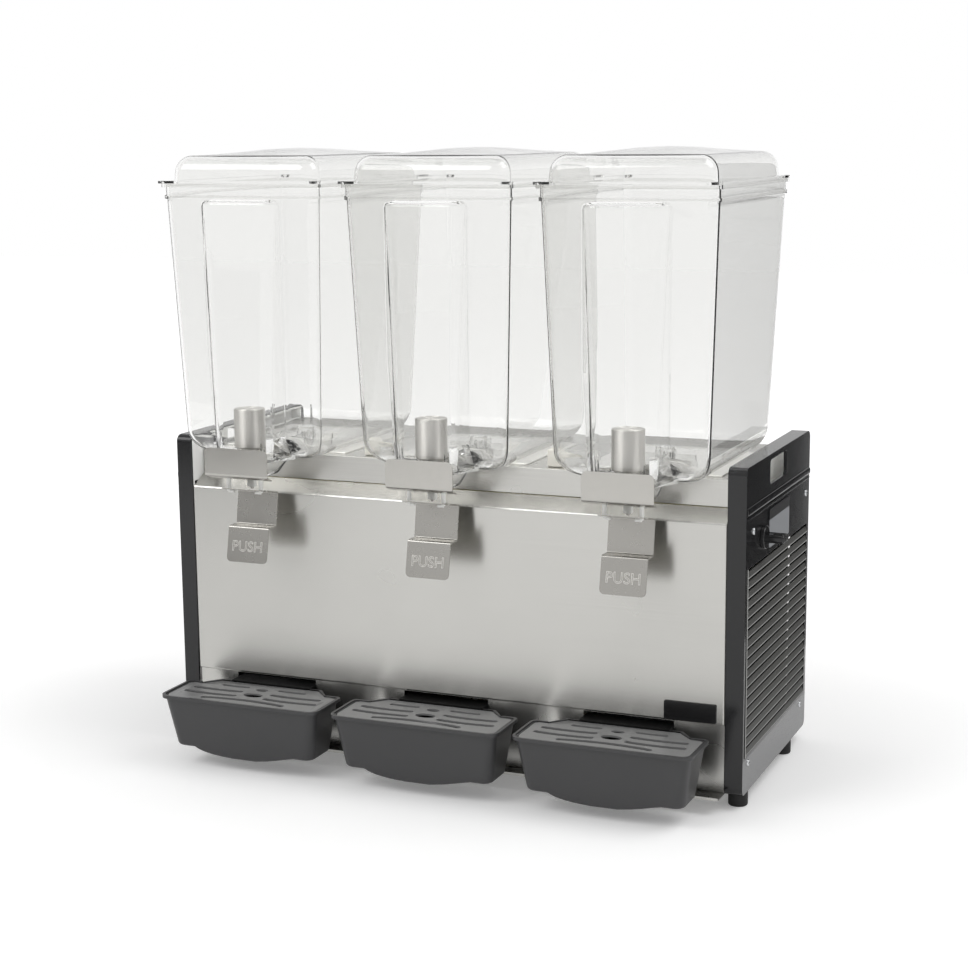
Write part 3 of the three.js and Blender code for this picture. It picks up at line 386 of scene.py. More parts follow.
def satin_steel(name, colour, rough):
    """Thin metal strip with a fine matt rolled finish: soft reflections. The roll marks are under
    1 mm, drawn here as a faint 6 mm mottling that a small picture can show."""
    material, tree = finish_named(name)
    noise, relief = fine_grain(tree, 6.0, 0.006)
    shine = add(tree, "ShaderNodeMapRange", {
        "Value": noise.outputs["Fac"], "From Min": 0.3, "From Max": 0.7,
        "To Min": rough - 0.02, "To Max": rough + 0.02})
    shader = add(tree, "ShaderNodeBsdfPrincipled", {
        "Base Color": linear(colour), "Metallic": 1.0, "Roughness": shine.outputs["Result"],
        "Normal": relief.outputs["Normal"]})
    close(tree, shader)
    return material


def turned_steel(name, colour):
    """Stainless bar turned on a lathe: rings round the upright axis, tall bright highlights. The
    rings are about 0.1 mm apart, drawn here at 0.5 mm to show."""
    material, tree = finish_named(name)
    place = add(tree, "ShaderNodeTexCoord")
    rings = add(tree, "ShaderNodeMapping", {
        "Vector": place.outputs["Object"], "Scale": (4.0, 4.0, 1 / (0.5 * MM))})
    noise = add(tree, "ShaderNodeTexNoise", {
        "Vector": rings.outputs["Vector"], "Scale": 1.0, "Detail": 2.0})
    relief = add(tree, "ShaderNodeBump", {
        "Height": noise.outputs["Fac"], "Strength": 0.05, "Distance": 0.0001})
    drawn = add(tree, "ShaderNodeCombineXYZ", {"Z": 1.0})
    shader = add(tree, "ShaderNodeBsdfPrincipled", {
        "Base Color": linear(colour), "Metallic": 1.0, "Roughness": 0.5, "Anisotropic": 0.95,
        "Normal": relief.outputs["Normal"], "Tangent": drawn.outputs["Vector"]})
    close(tree, shader)
    return material


def clear_polycarbonate(name, colour, ripple=0.02):
    """Injection-moulded polycarbonate: clear and glossy, faintly grey, with a very slight flow
    ripple. Its real IOR is 1.585; the lower one here shows more of what is behind the walls."""
    material, tree = finish_named(name)
    place = add(tree, "ShaderNodeTexCoord")
    flow = add(tree, "ShaderNodeTexNoise", {
        "Vector": place.outputs["Object"], "Scale": 14.0, "Detail": 1.0, "Roughness": 0.4})
    relief = add(tree, "ShaderNodeBump", {
        "Height": flow.outputs["Fac"], "Strength": ripple, "Distance": 0.002})
    shader = add(tree, "ShaderNodeBsdfPrincipled", {
        "Base Color": linear(colour), "Roughness": 0.015, "IOR": 1.46, "Transmission Weight": 1.0,
        "Normal": relief.outputs["Normal"]})
    close(tree, shader)
    return material


def moulded_plastic(name, colour, rough, level=0.5, grain=0.6, share=0.12, second_tone=None):
    """Injection-moulded plastic with a fine spark-eroded skin, whose colour drifts a little if a
    second tone is given. The real grain is about 0.1 mm, drawn here at 0.6 to 1.2 mm to show."""
    material, tree = finish_named(name)
    noise, relief = fine_grain(tree, grain, share)
    shine = add(tree, "ShaderNodeMapRange", {
        "Value": noise.outputs["Fac"], "From Min": 0.3, "From Max": 0.7,
        "To Min": max(rough - 0.04, 0.02), "To Max": rough + 0.04})
    shader = add(tree, "ShaderNodeBsdfPrincipled", {
        "Base Color": linear(colour), "Roughness": shine.outputs["Result"],
        "Specular IOR Level": level, "Normal": relief.outputs["Normal"]})
    if second_tone:
        place = add(tree, "ShaderNodeTexCoord")
        drift = add(tree, "ShaderNodeTexNoise", {
            "Vector": place.outputs["Object"], "Scale": 7.0, "Detail": 2.0})
        hue = add(tree, "ShaderNodeMix", {"Factor": drift.outputs["Fac"]}, data_type="RGBA")
        hue.inputs[6].default_value = linear(colour)
        hue.inputs[7].default_value = linear(second_tone)
        tree.links.new(hue.outputs[2], shader.inputs["Base Color"])
    close(tree, shader)
    return material


def painted(name, colour, rough):
    """Stove-enamelled steel: an even coat with a slight orange peel of about 2.5 mm."""
    material, tree = finish_named(name)
    _, relief = fine_grain(tree, 2.5, 0.15)
    shader = add(tree, "ShaderNodeBsdfPrincipled", {
        "Base Color": linear(colour), "Roughness": rough, "Coat Weight": 0.4, "Coat Roughness": 0.15,
        "Normal": relief.outputs["Normal"]})
    close(tree, shader)
    return material


def open_foam(name, colour):
    """Sprayed polyurethane foam: matt, pale straw, with a skin of 4 mm pebbles."""
    material, tree = finish_named(name)
    _, relief = fine_grain(tree, 4.0, 0.8)
    shader = add(tree, "ShaderNodeBsdfPrincipled", {
        "Base Color": linear(colour), "Roughness": 0.9, "Normal": relief.outputs["Normal"]})
    close(tree, shader)
    return material


def plate_film(name, header, body, split_z):
    """Printed polyester film, bare: a dark head band over a satin silver field, with no words."""
    material, tree = finish_named(name)
    place = add(tree, "ShaderNodeTexCoord")
    axes = add(tree, "ShaderNodeSeparateXYZ", {"Vector": place.outputs["Object"]})
    above = add(tree, "ShaderNodeMath", {0: axes.outputs["Z"], 1: split_z}, operation="GREATER_THAN")
    hue = add(tree, "ShaderNodeMix", {"Factor": above.outputs[0]}, data_type="RGBA")
    hue.inputs[6].default_value = linear(body)
    hue.inputs[7].default_value = linear(header)
    shader = add(tree, "ShaderNodeBsdfPrincipled", {
        "Base Color": hue.outputs[2], "Roughness": 0.4, "Specular IOR Level": 0.4})
    close(tree, shader)
    return material


front_steel = brushed_steel("brushed_stainless_upright", "#c6c5c1", "x", "z", 0.25, 0.6)
level_steel = brushed_steel("brushed_stainless_level", "#c6c5c1", "x", "y", 0.26)
strip_steel = satin_steel("satin_stainless_strip", "#bab8b3", 0.24)
lever_steel = satin_steel("satin_stainless_lever", "#aeaca7", 0.26)
weight_steel = turned_steel("turned_stainless", "#dfddd9")
clear = clear_polycarbonate("clear_polycarbonate", "#f1f1f0")
gloss_black = moulded_plastic("gloss_black_abs", "#161617", 0.16, 0.5, 1.2, 0.03, "#18181a")
# Mid grey on black plastic: a painted reflection of the floor on the sides' lowest 50 mm
floor_reflection_grey = moulded_plastic("satin_black_abs_painted_reflection", "#6c6c6d", 0.3, 0.5, 0.9, 0.05, "#737374")
louvre_black = moulded_plastic("satin_black_abs", "#484847", 0.46, 0.25, 0.7, 0.08, "#4e4e4b")
# Light grey on black plastic: a painted highlight along the louvres' lips and the rib in front of them
lip_painted_highlight = moulded_plastic("satin_black_abs_painted_highlight", "#9c9c9a", 0.6, 0.15, 0.7, 0.05, "#a4a4a2")
tray_grey = moulded_plastic("dark_grey_polypropylene", "#3a3a3b", 0.36, 0.45, 0.8, 0.06, "#3e3e3f")
# Near black: painted shade for the inside of the trays, the tab bed and the tongue in its slot
tray_painted_shade = moulded_plastic("black_polypropylene_painted_shade", "#0e0e0e", 0.6, 0.2, 0.8, 0.05)
grille_grey = moulded_plastic("satin_grey_polypropylene", "#7c7c7c", 0.32, 0.5, 0.8, 0.06, "#848484")
frosted = moulded_plastic("frosted_polycarbonate", "#dededb", 0.25, 0.5, 1.0, 0.04, "#e6e6e3")
plate_steel = satin_steel("polished_stainless_plate", "#efeeea", 0.3)
# Near white plastic: the stirrer motors, and painted light in the hand holes' pockets and on the blocks
# behind them
white_trim_and_painted_light = moulded_plastic("white_polyethylene_and_painted_light", "#f1f1ef", 0.5, 0.4, 1.0, 0.05, "#f4f4f2")
nylon_white = moulded_plastic("natural_nylon", "#e8e6de", 0.45, 0.5, 1.0, 0.1, "#e4e1d8")
rubber_black = moulded_plastic("black_nitrile_rubber", "#161616", 0.6, 0.4, 0.9, 0.3, "#1b1b1b")
silicone_clear = moulded_plastic("translucent_silicone", "#d9d9d4", 0.5, 0.5, 0.9, 0.1, "#cfcfca")
foam_straw = open_foam("polyurethane_foam", "#d9cfa8")
aluminium_sheet = satin_steel("mill_finish_aluminium", "#b8bbbd", 0.36)
black_enamel = painted("black_stove_enamel", "#17191a", 0.38)
screw_chrome = satin_steel("bright_zinc_plate", "#d0d2d4", 0.16)
badge_black = moulded_plastic("black_badge_acrylic", "#101011", 0.16, 0.4, 0.9, 0.03, "#121213")
fan_nylon = moulded_plastic("black_fan_nylon", "#1a1a1b", 0.4)
etched = satin_steel("etched_stainless_line", "#f6f4f0", 0.5)


def wear(piece, material, body):
    piece.data.materials.clear()
    piece.data.materials.append(material)
    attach(piece, body)
    return piece


# ---------------------------------------------------------------- camera, world, floor


def aim_camera():
    """The camera stands back from the spot it looks at, and rolls a little about its own axis."""
    azimuth, elevation, roll = (math.radians(a) for a in (
        CAMERA_AZIMUTH, CAMERA_ELEVATION, CAMERA_ROLL))
    back = Vector((math.sin(azimuth) * math.cos(elevation), -math.cos(azimuth) * math.cos(elevation),
                   math.sin(elevation)))
    level = (-back).cross(Vector((0, 0, 1))).normalized()
    raised = level.cross(-back)
    level_across = level * math.cos(roll) + raised * math.sin(roll)
    upward = raised * math.cos(roll) - level * math.sin(roll)
    lens = bpy.data.cameras.new("camera")
    lens.lens, lens.sensor_width = CAMERA_LENS, CAMERA_FILM
    lens.clip_start, lens.clip_end = 0.05, 60.0
    camera = bpy.data.objects.new("camera", lens)
    bpy.context.scene.collection.objects.link(camera)
    turned = Matrix((level_across, upward, back)).transposed().to_4x4()
    camera.matrix_world = Matrix.Translation(spot(*LOOKED_AT) + back * CAMERA_DISTANCE) @ turned
    bpy.context.scene.camera = camera


def light_studio():
    """Plain soft light: a pale room, and one wide soft lamp on each side."""
    world = bpy.data.worlds.new("studio")
    bpy.context.scene.world = world
    world.use_nodes = True
    tree = world.node_tree
    tree.nodes.clear()
    path = add(tree, "ShaderNodeLightPath")
    place = add(tree, "ShaderNodeTexCoord")
    axes = add(tree, "ShaderNodeSeparateXYZ", {"Vector": place.outputs["Generated"]})
    height = add(tree, "ShaderNodeMapRange", {
        "Value": axes.outputs["Z"], "From Min": 0.0, "From Max": 0.35, "To Min": 0.95, "To Max": 0.62},
        interpolation_type="SMOOTHSTEP")
    shown = add(tree, "ShaderNodeMath", {
        0: path.outputs["Is Transmission Ray"], 1: WHITE_THROUGH_WALLS}, operation="MULTIPLY")
    shown = add(tree, "ShaderNodeMath", {
        0: path.outputs["Is Camera Ray"], 1: shown.outputs[0]}, operation="MAXIMUM")
    strength = add(tree, "ShaderNodeMath", {
        0: shown.outputs[0], 1: height.outputs["Result"]}, operation="MAXIMUM")
    sky = add(tree, "ShaderNodeBackground", {
        "Color": (1.0, 1.0, 1.0, 1.0), "Strength": strength.outputs[0]})
    add(tree, "ShaderNodeOutputWorld", {"Surface": sky.outputs[0]})
    for name, place_mm, wide, high, power in (
            ("lamp_left", (-1300, -1500, 1900), 1.6, 1.2, 19.0),
            ("lamp_right", (1300, 250, 1900), 1.2, 1.2, 13.0)):
        lamp = bpy.data.lights.new(name, "AREA")
        lamp.shape, lamp.size, lamp.size_y, lamp.energy = "RECTANGLE", wide, high, power
        holder = bpy.data.objects.new(name, lamp)
        bpy.context.scene.collection.objects.link(holder)
        holder.location = spot(*place_mm)
        holder.rotation_euler = (spot(0, 60, 300) - holder.location).to_track_quat("-Z", "Y").to_euler()


def lay_floor():
    """A pale floor that shows white, and keeps the soft shadow under the case: the white that is
    added for the camera grows with the distance from the object, and reflections get half of it."""
    bpy.ops.object.select_all(action="DESELECT")
    bpy.ops.mesh.primitive_plane_add(size=14, location=(0, 0, 0))
    floor = bpy.context.object
    floor.name = "floor"
    material, tree = finish_named("pale_floor")
    path = add(tree, "ShaderNodeLightPath")
    part = add(tree, "ShaderNodeMath", {0: path.outputs["Is Glossy Ray"], 1: 0.5}, operation="MULTIPLY")
    seen = add(tree, "ShaderNodeMath", {
        0: path.outputs["Is Camera Ray"], 1: part.outputs[0]}, operation="MAXIMUM")
    seen = add(tree, "ShaderNodeMath", {
        0: seen.outputs[0], 1: path.outputs["Is Transmission Ray"]}, operation="MAXIMUM")
    place = add(tree, "ShaderNodeTexCoord")
    away = add(tree, "ShaderNodeVectorMath", {0: place.outputs["Object"]}, operation="LENGTH")
    added = add(tree, "ShaderNodeMapRange", {
        "Value": away.outputs["Value"], "From Min": 0.42, "From Max": 1.65,
        "To Min": 0.17, "To Max": 0.52})
    lift = add(tree, "ShaderNodeMath", {
        0: seen.outputs[0], 1: added.outputs["Result"]}, operation="MULTIPLY")
    shader = add(tree, "ShaderNodeBsdfPrincipled", {
        "Base Color": linear("#f6f6f6"), "Roughness": 0.9, "Specular IOR Level": 0.1,
        "Emission Color": (1.0, 1.0, 1.0, 1.0), "Emission Strength": lift.outputs[0]})
    close(tree, shader)
    floor.data.materials.append(material)
    floor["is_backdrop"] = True


def stand_flags():
    """Two dark cards, as a photographer sets them to give steel, clear plastic and black gloss
    their dark side: one behind to the right, one far out to the left. Only reflections see them."""
    for name, low, high, colour in (
            ("flag_right", (400, 640, -2), (830, 646, 1000), "#303030"),
            ("flag_left", (-2600, -1656, -2), (-960, -1650, 450), "#6c6c6c")):
        flag = block(name, low, high)
        material, tree = finish_named(f"card_{name}")
        close(tree, add(tree, "ShaderNodeBsdfPrincipled", {
            "Base Color": linear(colour), "Roughness": 0.9, "Specular IOR Level": 0.1}))
        flag.data.materials.append(material)
        flag.visible_camera = flag.visible_diffuse = False
        flag.visible_transmission = flag.visible_shadow = False
        flag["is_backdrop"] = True


# ---------------------------------------------------------------- bowls, lids, valves


def make_bowl():
    """One bowl, as a shell: a drafted box, the bay on its front, its rim, and the hollow spout. The
    level slices keep the shading of the tall walls even."""
    bowl = block("clear_bowl", (-79.3, -30, 332), (79.3, 201.3, 604.6))
    with editing(bowl):
        pick("FACE", lambda middle, normal: normal.z > 0.9)
        stretch((89.3 / 79.3, 261.4 / 231.3, 1), (0, 85.65, 604.6))
        shift(0, 4.95, 0)
        pick("EDGE", lambda middle, along: middle.z < 333)
        round_edges(27, 8)
        pick("EDGE", lambda middle, along: max(abs(along.x), abs(along.y)) < 0.99)
        round_edges(8.5, 6)
    bay = block("bay", (-29.5, -51, 333), (29.5, -20, 604.3))
    with editing(bay):
        pick("VERT", lambda p: p.y < -50 and p.z > 600)
        stretch((38 / 29.5, 1, 1), (0, -51, 600))
        shift(0, 4, 0)
        pick("VERT", lambda p: p.y > -21 and p.z > 600)
        stretch((67 / 29.5, 1, 1), (0, -20, 600))
        pick("VERT", lambda p: p.y > -21 and p.z < 340)
        stretch((47 / 29.5, 1, 1), (0, -20, 333))
        pick("EDGE", lambda middle, along: abs(along.z) > 0.9 and middle.y < -45)
        round_edges(9, 8)
        pick("EDGE", lambda middle, along: middle.z > 604 and middle.y < -25)
        round_edges(6.5, 7)
    unite(bowl, bay)
    with editing(bowl):
        pick("EDGE", lambda middle, along: abs(along.z) > 0.9 and 380 < middle.z < 590
             and 37 < abs(middle.x) < 54 and middle.y < -29)
        round_edges(5, 6)
        pick("FACE", lambda middle, normal: normal.z > 0.9 and middle.z > 604)
        bpy.ops.mesh.delete(type="FACE")
        pick("EDGE", lambda middle, along: middle.z > 604.5)
        bpy.ops.mesh.extrude_region_move()
        stretch((91.2 / 89.3, 265.2 / 261.4, 1), (0, 90.6, 604.6))
        extrude(0, 0, 3.6)
        bpy.ops.mesh.extrude_region_move()
        stretch((90 / 91.2, 262.8 / 265.2, 1), (0, 90.6, 608))
        extrude(0, 0, 11.5)
        for z in (598, 585, 560, 530, 500, 470, 440, 410, 385, 365):
            slice_at((0, 0, z), (0, 0, 1))
    thicken(bowl, 2.8)
    nose = pushed_across("nose", 27, [
        (-62.8, 334), (-62.8, 324), (-52, 316.5), (-20, 316.5), (2, 327), (2, 334)])
    soften(nose, 4.0, 4)
    ears = [block("ear", (hand * 19 - 2, -48.5, 299.4), (hand * 19 + 2, -43.5, 320))
            for hand in (1, -1)]
    for ear in ears:
        soften(ear, 1.5, 3)
    pins = [rod("pin", 1.5, (hand * 12.5, -46, 299.6), (hand * 19, -46, 299.6), 20)
            for hand in (1, -1)]
    spout = rod("spout", 5, (0, VALVE_Y, 303.5), (0, VALVE_Y, 318))
    unite(bowl, nose, *ears, *pins, spout)
    inside = pushed_across("nose_inside", 24, [
        (-59.6, 331), (-59.6, 325.4), (-50.6, 319.4), (-21, 319.4), (-2, 328.4), (-2, 338), (-46, 338),
        (-46, 331)])
    cut(bowl, soften(inside, 2.0, 3))
    unite(bowl, rod("seat", 15, (0, VALVE_Y, 318), (0, VALVE_Y, 337.8), 64))
    cut(bowl, rod("bore", 3.6, (0, VALVE_Y, 290), (0, VALVE_Y, 345), 32))
    return smooth(bowl, 30)


def make_lid():
    """One lid, as a shell: a flange that drops over the rim, and a domed top."""
    lid = block("clear_lid", (-93, -44.5, 616.5), (93, 225, 623))
    with editing(lid):
        pick("FACE", lambda middle, normal: normal.z > 0.9)
        bpy.ops.mesh.inset(thickness=8 * MM, depth=0)
        extrude(0, 0, 25.5)
        stretch((83 / 85, 249.5 / 253.5, 1), (0, 90.25, 648))
        pick("EDGE", lambda middle, along: abs(along.z) > 0.9 and middle.z > 630)
        round_edges(16, 8)
        pick("EDGE", lambda middle, along: middle.z > 648.4)
        round_edges(17, 8)
        columns, rows = (-48, -24, 0, 24, 48), (0, 30, 60, 90, 120, 150, 180)
        for x in columns:
            slice_at((x, 0, 0), (1, 0, 0))
        for y in rows:
            slice_at((0, y, 0), (0, 1, 0))
        for x in columns:
            for y in rows:
                pick("VERT", lambda p: abs(p.x - x) < 0.1 and abs(p.y - y) < 0.1 and p.z > 648)
                shift(0, 0, 6.5 * (1 - (x / 66) ** 2) * (1 - ((y - 90) / 112) ** 2))
        pick("EDGE", lambda middle, along: abs(along.z) > 0.9 and middle.z < 623)
        round_edges(9, 5)
        pick("FACE", lambda middle, normal: normal.z < -0.9)
        bpy.ops.mesh.delete(type="FACE")
    thicken(lid, 2.6)
    return soften(lid, 0.7, 3, 50)


def make_weight():
    """One valve weight: a turned bar with a chamfered foot and a thin stem."""
    weight = rod("valve_weight", 16.2, (0, VALVE_Y, 341.6), (0, VALVE_Y, 386.6), 96)
    with editing(weight):
        pick("EDGE", lambda middle, along: middle.z < 342)
        round_edges(5.2, 1)
        pick("EDGE", lambda middle, along: middle.z > 386)
        round_edges(1.0, 3)
        pick("FACE", lambda middle, normal: normal.z < -0.9)
        bpy.ops.mesh.inset(thickness=9 * MM)
        extrude(0, 0, -40.5)
    return smooth(weight, 30)


# ---------------------------------------------------------------- levers, guards


def tongue_height(y):
    return 296 + (-18 - y) * 0.2126


def make_lever():
    """One push lever: a strip folded four times, waisted for the hooks, slotted for the drink."""
    lever = folded_strip("push_lever", -24, 24, [
        (-55, tongue_height(-55)), (-18, 296), (-24, 260), (-40, 260.6), (-47.5, 223.5)], 1.6)
    round_corners(lever, lambda p: p.z < 224, 5)
    round_corners(lever, lambda p: p.y < -54 and p.z > 300, 3)
    thicken(lever, 1.5, 0)
    high = tongue_height(-46)
    drain = tongue_height(VALVE_Y)
    waists, slots = [], []
    for hand in (1, -1):
        inner, outer = across(hand, 15.2, 26)
        waists.append(block("waist", (inner, -50.5, high - 3), (outer, -41.5, high + 3)))
        inner, outer = hand * 5.6 - 2.6, hand * 5.6 + 2.6
        slots.append(block("slot", (inner, -35.5, drain - 3), (outer, -26.5, drain + 3)))
    cut(lever, *waists, *slots)
    return soften(lever, 0.25, 2, 50)


def make_word():
    """The word on the pad: the outline of each letter, scribed with a fine line."""
    bpy.ops.object.select_all(action="DESELECT")
    bpy.ops.object.text_add(location=(0, 0, 0))
    word = bpy.context.object
    word.name = "push_word"
    word.data.body = "PUSH"
    word.data.align_x, word.data.align_y = "CENTER", "CENTER"
    word.data.size = 15.5 * MM
    word.data.fill_mode = "NONE"
    word.data.bevel_depth = 0.2 * MM
    word.data.bevel_resolution = 1
    word.data.resolution_u = 4
    bpy.ops.object.convert(target="MESH")
    word = bpy.context.object
    lean = math.atan2(8, 37)
    word.rotation_euler = (math.radians(90) - lean, 0, 0)
    word.location = spot(0, -45.1, 240)
    return settle(word)


def make_guard():
    """One guard plate: an upright plate with its foot turned back under the spout."""
    guard = folded_strip("guard_plate", -37, 37, [(-63.7, 348.2), (-63.7, 319), (-53.7, 315)], 1.8)
    round_corners(guard, lambda p: p.z > 348, 6)
    thicken(guard, 1.2, 0)
    return soften(guard, 0.25, 2, 50)


# ---------------------------------------------------------------- trays, grilles


def make_tray():
    """One drip tray: a drafted box with a sagging belly, a thin rim, and at the rear an apron
    for the grille's tab and the tongue that hangs in the slot."""
    tray = block("drip_tray", (-82.5, -76, 22), (82.5, -32.5, 76.6))
    with editing(tray):
        pick("FACE", lambda middle, normal: normal.z > 0.9)
        stretch((91 / 82.5, 57 / 43.5, 1), (0, -54.25, 77))
        shift(0, -2.25, 0)
        pick("EDGE", lambda middle, along: abs(along.z) > 0.9 and middle.y < -60)
        round_edges(10, 7)
        pick("EDGE", lambda middle, along: abs(along.z) > 0.9 and middle.y > -40)
        round_edges(5, 3)
        pick("EDGE", lambda middle, along: middle.z < 22.1)
        round_edges(3.2, 4)
        for x in (74, 60, 56, 52, 48, 44, 40, 36, 28, 14):
            for hand in (1, -1):
                slice_at((hand * x, 0, 0), (1, 0, 0))
        for x in (56, 52, 48, 44, 40, 36, 28, 14, 0):
            sag = 9.0 * math.cos(math.pi * x / 120) ** 1.1 if x < 60 else 0
            pick("VERT", lambda p: abs(abs(p.x) - x) < 0.4 and p.z < 26)
            shift(0, 0, -sag)
    unite(tray, make_arch())
    with editing(tray):
        pick("FACE", lambda middle, normal: normal.z > 0.9)
        bpy.ops.mesh.delete(type="FACE")
        pick("EDGE", lambda middle, along: middle.z > 76.5)
        bpy.ops.mesh.extrude_region_move()
        stretch((94 / 91, 63 / 57, 1), (0, -56.5, 77))
        extrude(0, 0, 3.4)
        bpy.ops.mesh.extrude_region_move()
        stretch((91.4 / 94, 57.8 / 63, 1), (0, -56.5, 80))
        extrude(0, 0, -3.2)
        pick("FACE", lambda middle, normal: middle.y > -28.1 and abs(middle.x) < 74
             and middle.z > 76.5)
        bpy.ops.mesh.delete(type="FACE")
    thicken(tray, 2.2)
    apron = pushed_up("apron", 73.5, 80, [(-75, -26), (75, -26), (62, -9), (-62, -9)])
    tongue = block("tongue", (-48, -11.5, 76), (48, 16, 81))
    cut(apron, pushed_up("tab_bed", 76.5, 90, [
        (-74.5, -28), (74.5, -28), (59.5, -11.5), (-59.5, -11.5)]))
    cut(tongue, block("under_tongue", (-45.5, -9, 70), (45.5, 20, 78.5)))
    for piece in (apron, tongue):
        soften(piece, 0.5, 2, 50)
    soften(tray, 0.5, 2, 50)
    return join(tray, apron, tongue)


def make_arch():
    """The low arch on a tray's front: a half oval, 0.4 mm proud, that runs down over the belly."""
    corners = []
    for i in range(56):
        turn = 2 * math.pi * i / 56
        z = 26 + math.sin(turn) * (34 if math.sin(turn) > 0 else 11.5)
        corners.append((-7 + 52 * math.cos(turn), -76.4 - (z - 22) * 0.16, z))
    return pushed("arch", corners, y=3)


def make_grille():
    """One drip grille: a thin plate with a tab at the rear, curved slots and two oval holes."""
    grille = block("drip_grille", (-88.6, -84.8, 76.8), (88.6, -28.2, 78.8))
    with editing(grille):
        pick("EDGE", lambda middle, along: abs(along.z) > 0.9 and middle.y < -60)
        round_edges(11, 6)
        pick("EDGE", lambda middle, along: abs(along.z) > 0.9 and middle.y > -40)
        round_edges(4, 3)
    unite(grille, pushed_up("tab", 76.8, 78.8, [
        (-77, -31), (77, -31), (59.1, -11.9), (-59.1, -11.9)]))
    slots = []
    for start, end, y, bow, wide in (
            (-51.5, -17.5, -25.4, -0.8, 5.6), (17.5, 51.5, -25.4, -0.8, 5.6),
            (-77.5, -17, -42, -1.6, 6.4), (17, 77.5, -42, -1.6, 6.4),
            (-80, -16, -57.5, -2.0, 6.4), (16, 80, -57.5, -2.0, 6.4),
            (-50, 50, -73.5, 4.5, 6.4)):
        slots.append(curved_cutter(start, end, y, bow, wide))
    for y, half_x, half_y in ((-49.6, 11.2, 6.6), (-29.6, 7.2, 4.4)):
        hole = rod("hole", 1, (0, y, 70), (0, y, 90), 40)
        with editing(hole):
            pick_all()
            stretch((half_x, half_y, 1), (0, y, 80))
        slots.append(hole)
    cutter = join(*slots)
    cut(grille, cutter)
    return soften(grille, 0.25, 2, 50)


def curved_cutter(start, end, y, bow, wide):
    """The shape of one slot: a bar bent in a shallow curve, with round ends."""
    bar = block("slot", (start, y - wide / 2, 70), (end, y + wide / 2, 90))
    with editing(bar):
        pick("EDGE", lambda middle, along: abs(along.z) > 0.9)
        round_edges(wide * 0.45, 4)
        steps = 10
        for i in range(1, steps):
            slice_at((start + (end - start) * i / steps, 0, 0), (1, 0, 0))
        for i in range(1, steps):
            at = start + (end - start) * i / steps
            pick("VERT", lambda p: abs(p.x - at) < 0.05)
            shift(0, bow * math.sin(math.pi * i / steps), 0)
    return bar


# ---------------------------------------------------------------- case


def make_side(hand):
    """One side panel: a deep moulding with a raised bar, a hand hole with the space behind it for
    the fingers, and a field for the louvres with a rib along its front edge."""
    low, high = across(hand, 301, CASE_HALF)
    side = block("side_panel", (low, 0, 15), (high, 262, 348))
    with editing(side):
        pick("EDGE", lambda middle, along: abs(along.x) > 0.9)
        round_edges(8, 6)
    low, high = across(hand, 290, 317)
    pocket = block("pocket", (low, 6, 21), (high, 256, 296))
    low, high = across(hand, 290, 315.9)
    behind = block("behind_hole", (low, 78, 299), (high, 253, 343.5))
    low, high = across(hand, 290, 330)
    hole = block("hand_hole", (low, 91, 317), (high, 159, 342))
    with editing(hole):
        pick("EDGE", lambda middle, along: abs(along.x) > 0.9)
        round_edges(4, 5)
    field = block("field", (low, LOUVRE_FRONT, LOUVRE_LOW), (high, LOUVRE_BACK, LOUVRE_HIGH))
    with editing(field):
        pick("EDGE", lambda middle, along: abs(along.x) > 0.9)
        round_edges(2, 3)
    cut(side, pocket, behind, hole, field)
    with editing(side):
        # The cut at 51 mm is where the painted floor reflection on the side ends
        slice_at((0, 0, 51), (0, 0, 1))
    soften(side, 1.6, 4, 40)
    low, high = across(hand, 316, 321.5)
    bar = block("bar", (low, 3, 299), (high, 259, 308))
    with editing(bar):
        pick("EDGE", lambda middle, along: abs(along.y) > 0.9 and abs(middle.x) > 320)
        round_edges(3.2, 5)
    smooth(bar)
    low, high = across(hand, 318, 321.0)
    ledge = block("ledge", (low, 3, 295.6), (high, 259, 297.4))
    frame_rib = block("frame_rib", (low, 6.8, 53.5), (high, 8.6, 247))
    for rib in (ledge, frame_rib):
        soften(rib, 0.6, 3)
    join(side, bar, ledge, frame_rib)
    return side


def mark_faces(piece, material, test):
    """Gives the faces that pass the test a second finish."""
    piece.data.materials.append(material)
    number = len(piece.data.materials) - 1
    for face in piece.data.polygons:
        if test(in_case(face.center), face.normal):
            face.material_index = number


def make_slats(hand):
    """The louvres of one side: leaning blades, each a little proud at its foot, with a gap under it."""
    pitch = (LOUVRE_HIGH - LOUVRE_LOW) / LOUVRE_COUNT
    front, back = LOUVRE_FRONT - 1, LOUVRE_BACK + 1
    blade = pushed("louvre", [(hand * x, front, z) for x, z in (
        (318.6, pitch - 3.7), (316.6, pitch - 4.3), (318.0, 0.3), (320.2, 0.2), (320.2, 1.3))],
        y=back - front)
    soften(blade, 0.2, 2, 20)
    blades = [copy_to(blade, f"louvre_{i}", z=LOUVRE_LOW + i * pitch) for i in range(LOUVRE_COUNT)]
    bpy.data.objects.remove(blade)
    return join(*blades)


def make_screw():
    """A pan-head screw with a cross recess, its head towards +x, at the case's origin."""
    head = rod("screw", 3.6, (0, 0, 0), (1.9, 0, 0), 32)
    with editing(head):
        pick("EDGE", lambda middle, along: middle.x > 1.8)
        round_edges(1.3, 4)
    cut(head, block("bar", (1.0, -0.45, -2.2), (3, 0.45, 2.2)),
        block("bar", (1.0, -2.2, -0.45), (3, 2.2, 0.45)))
    return smooth(head)


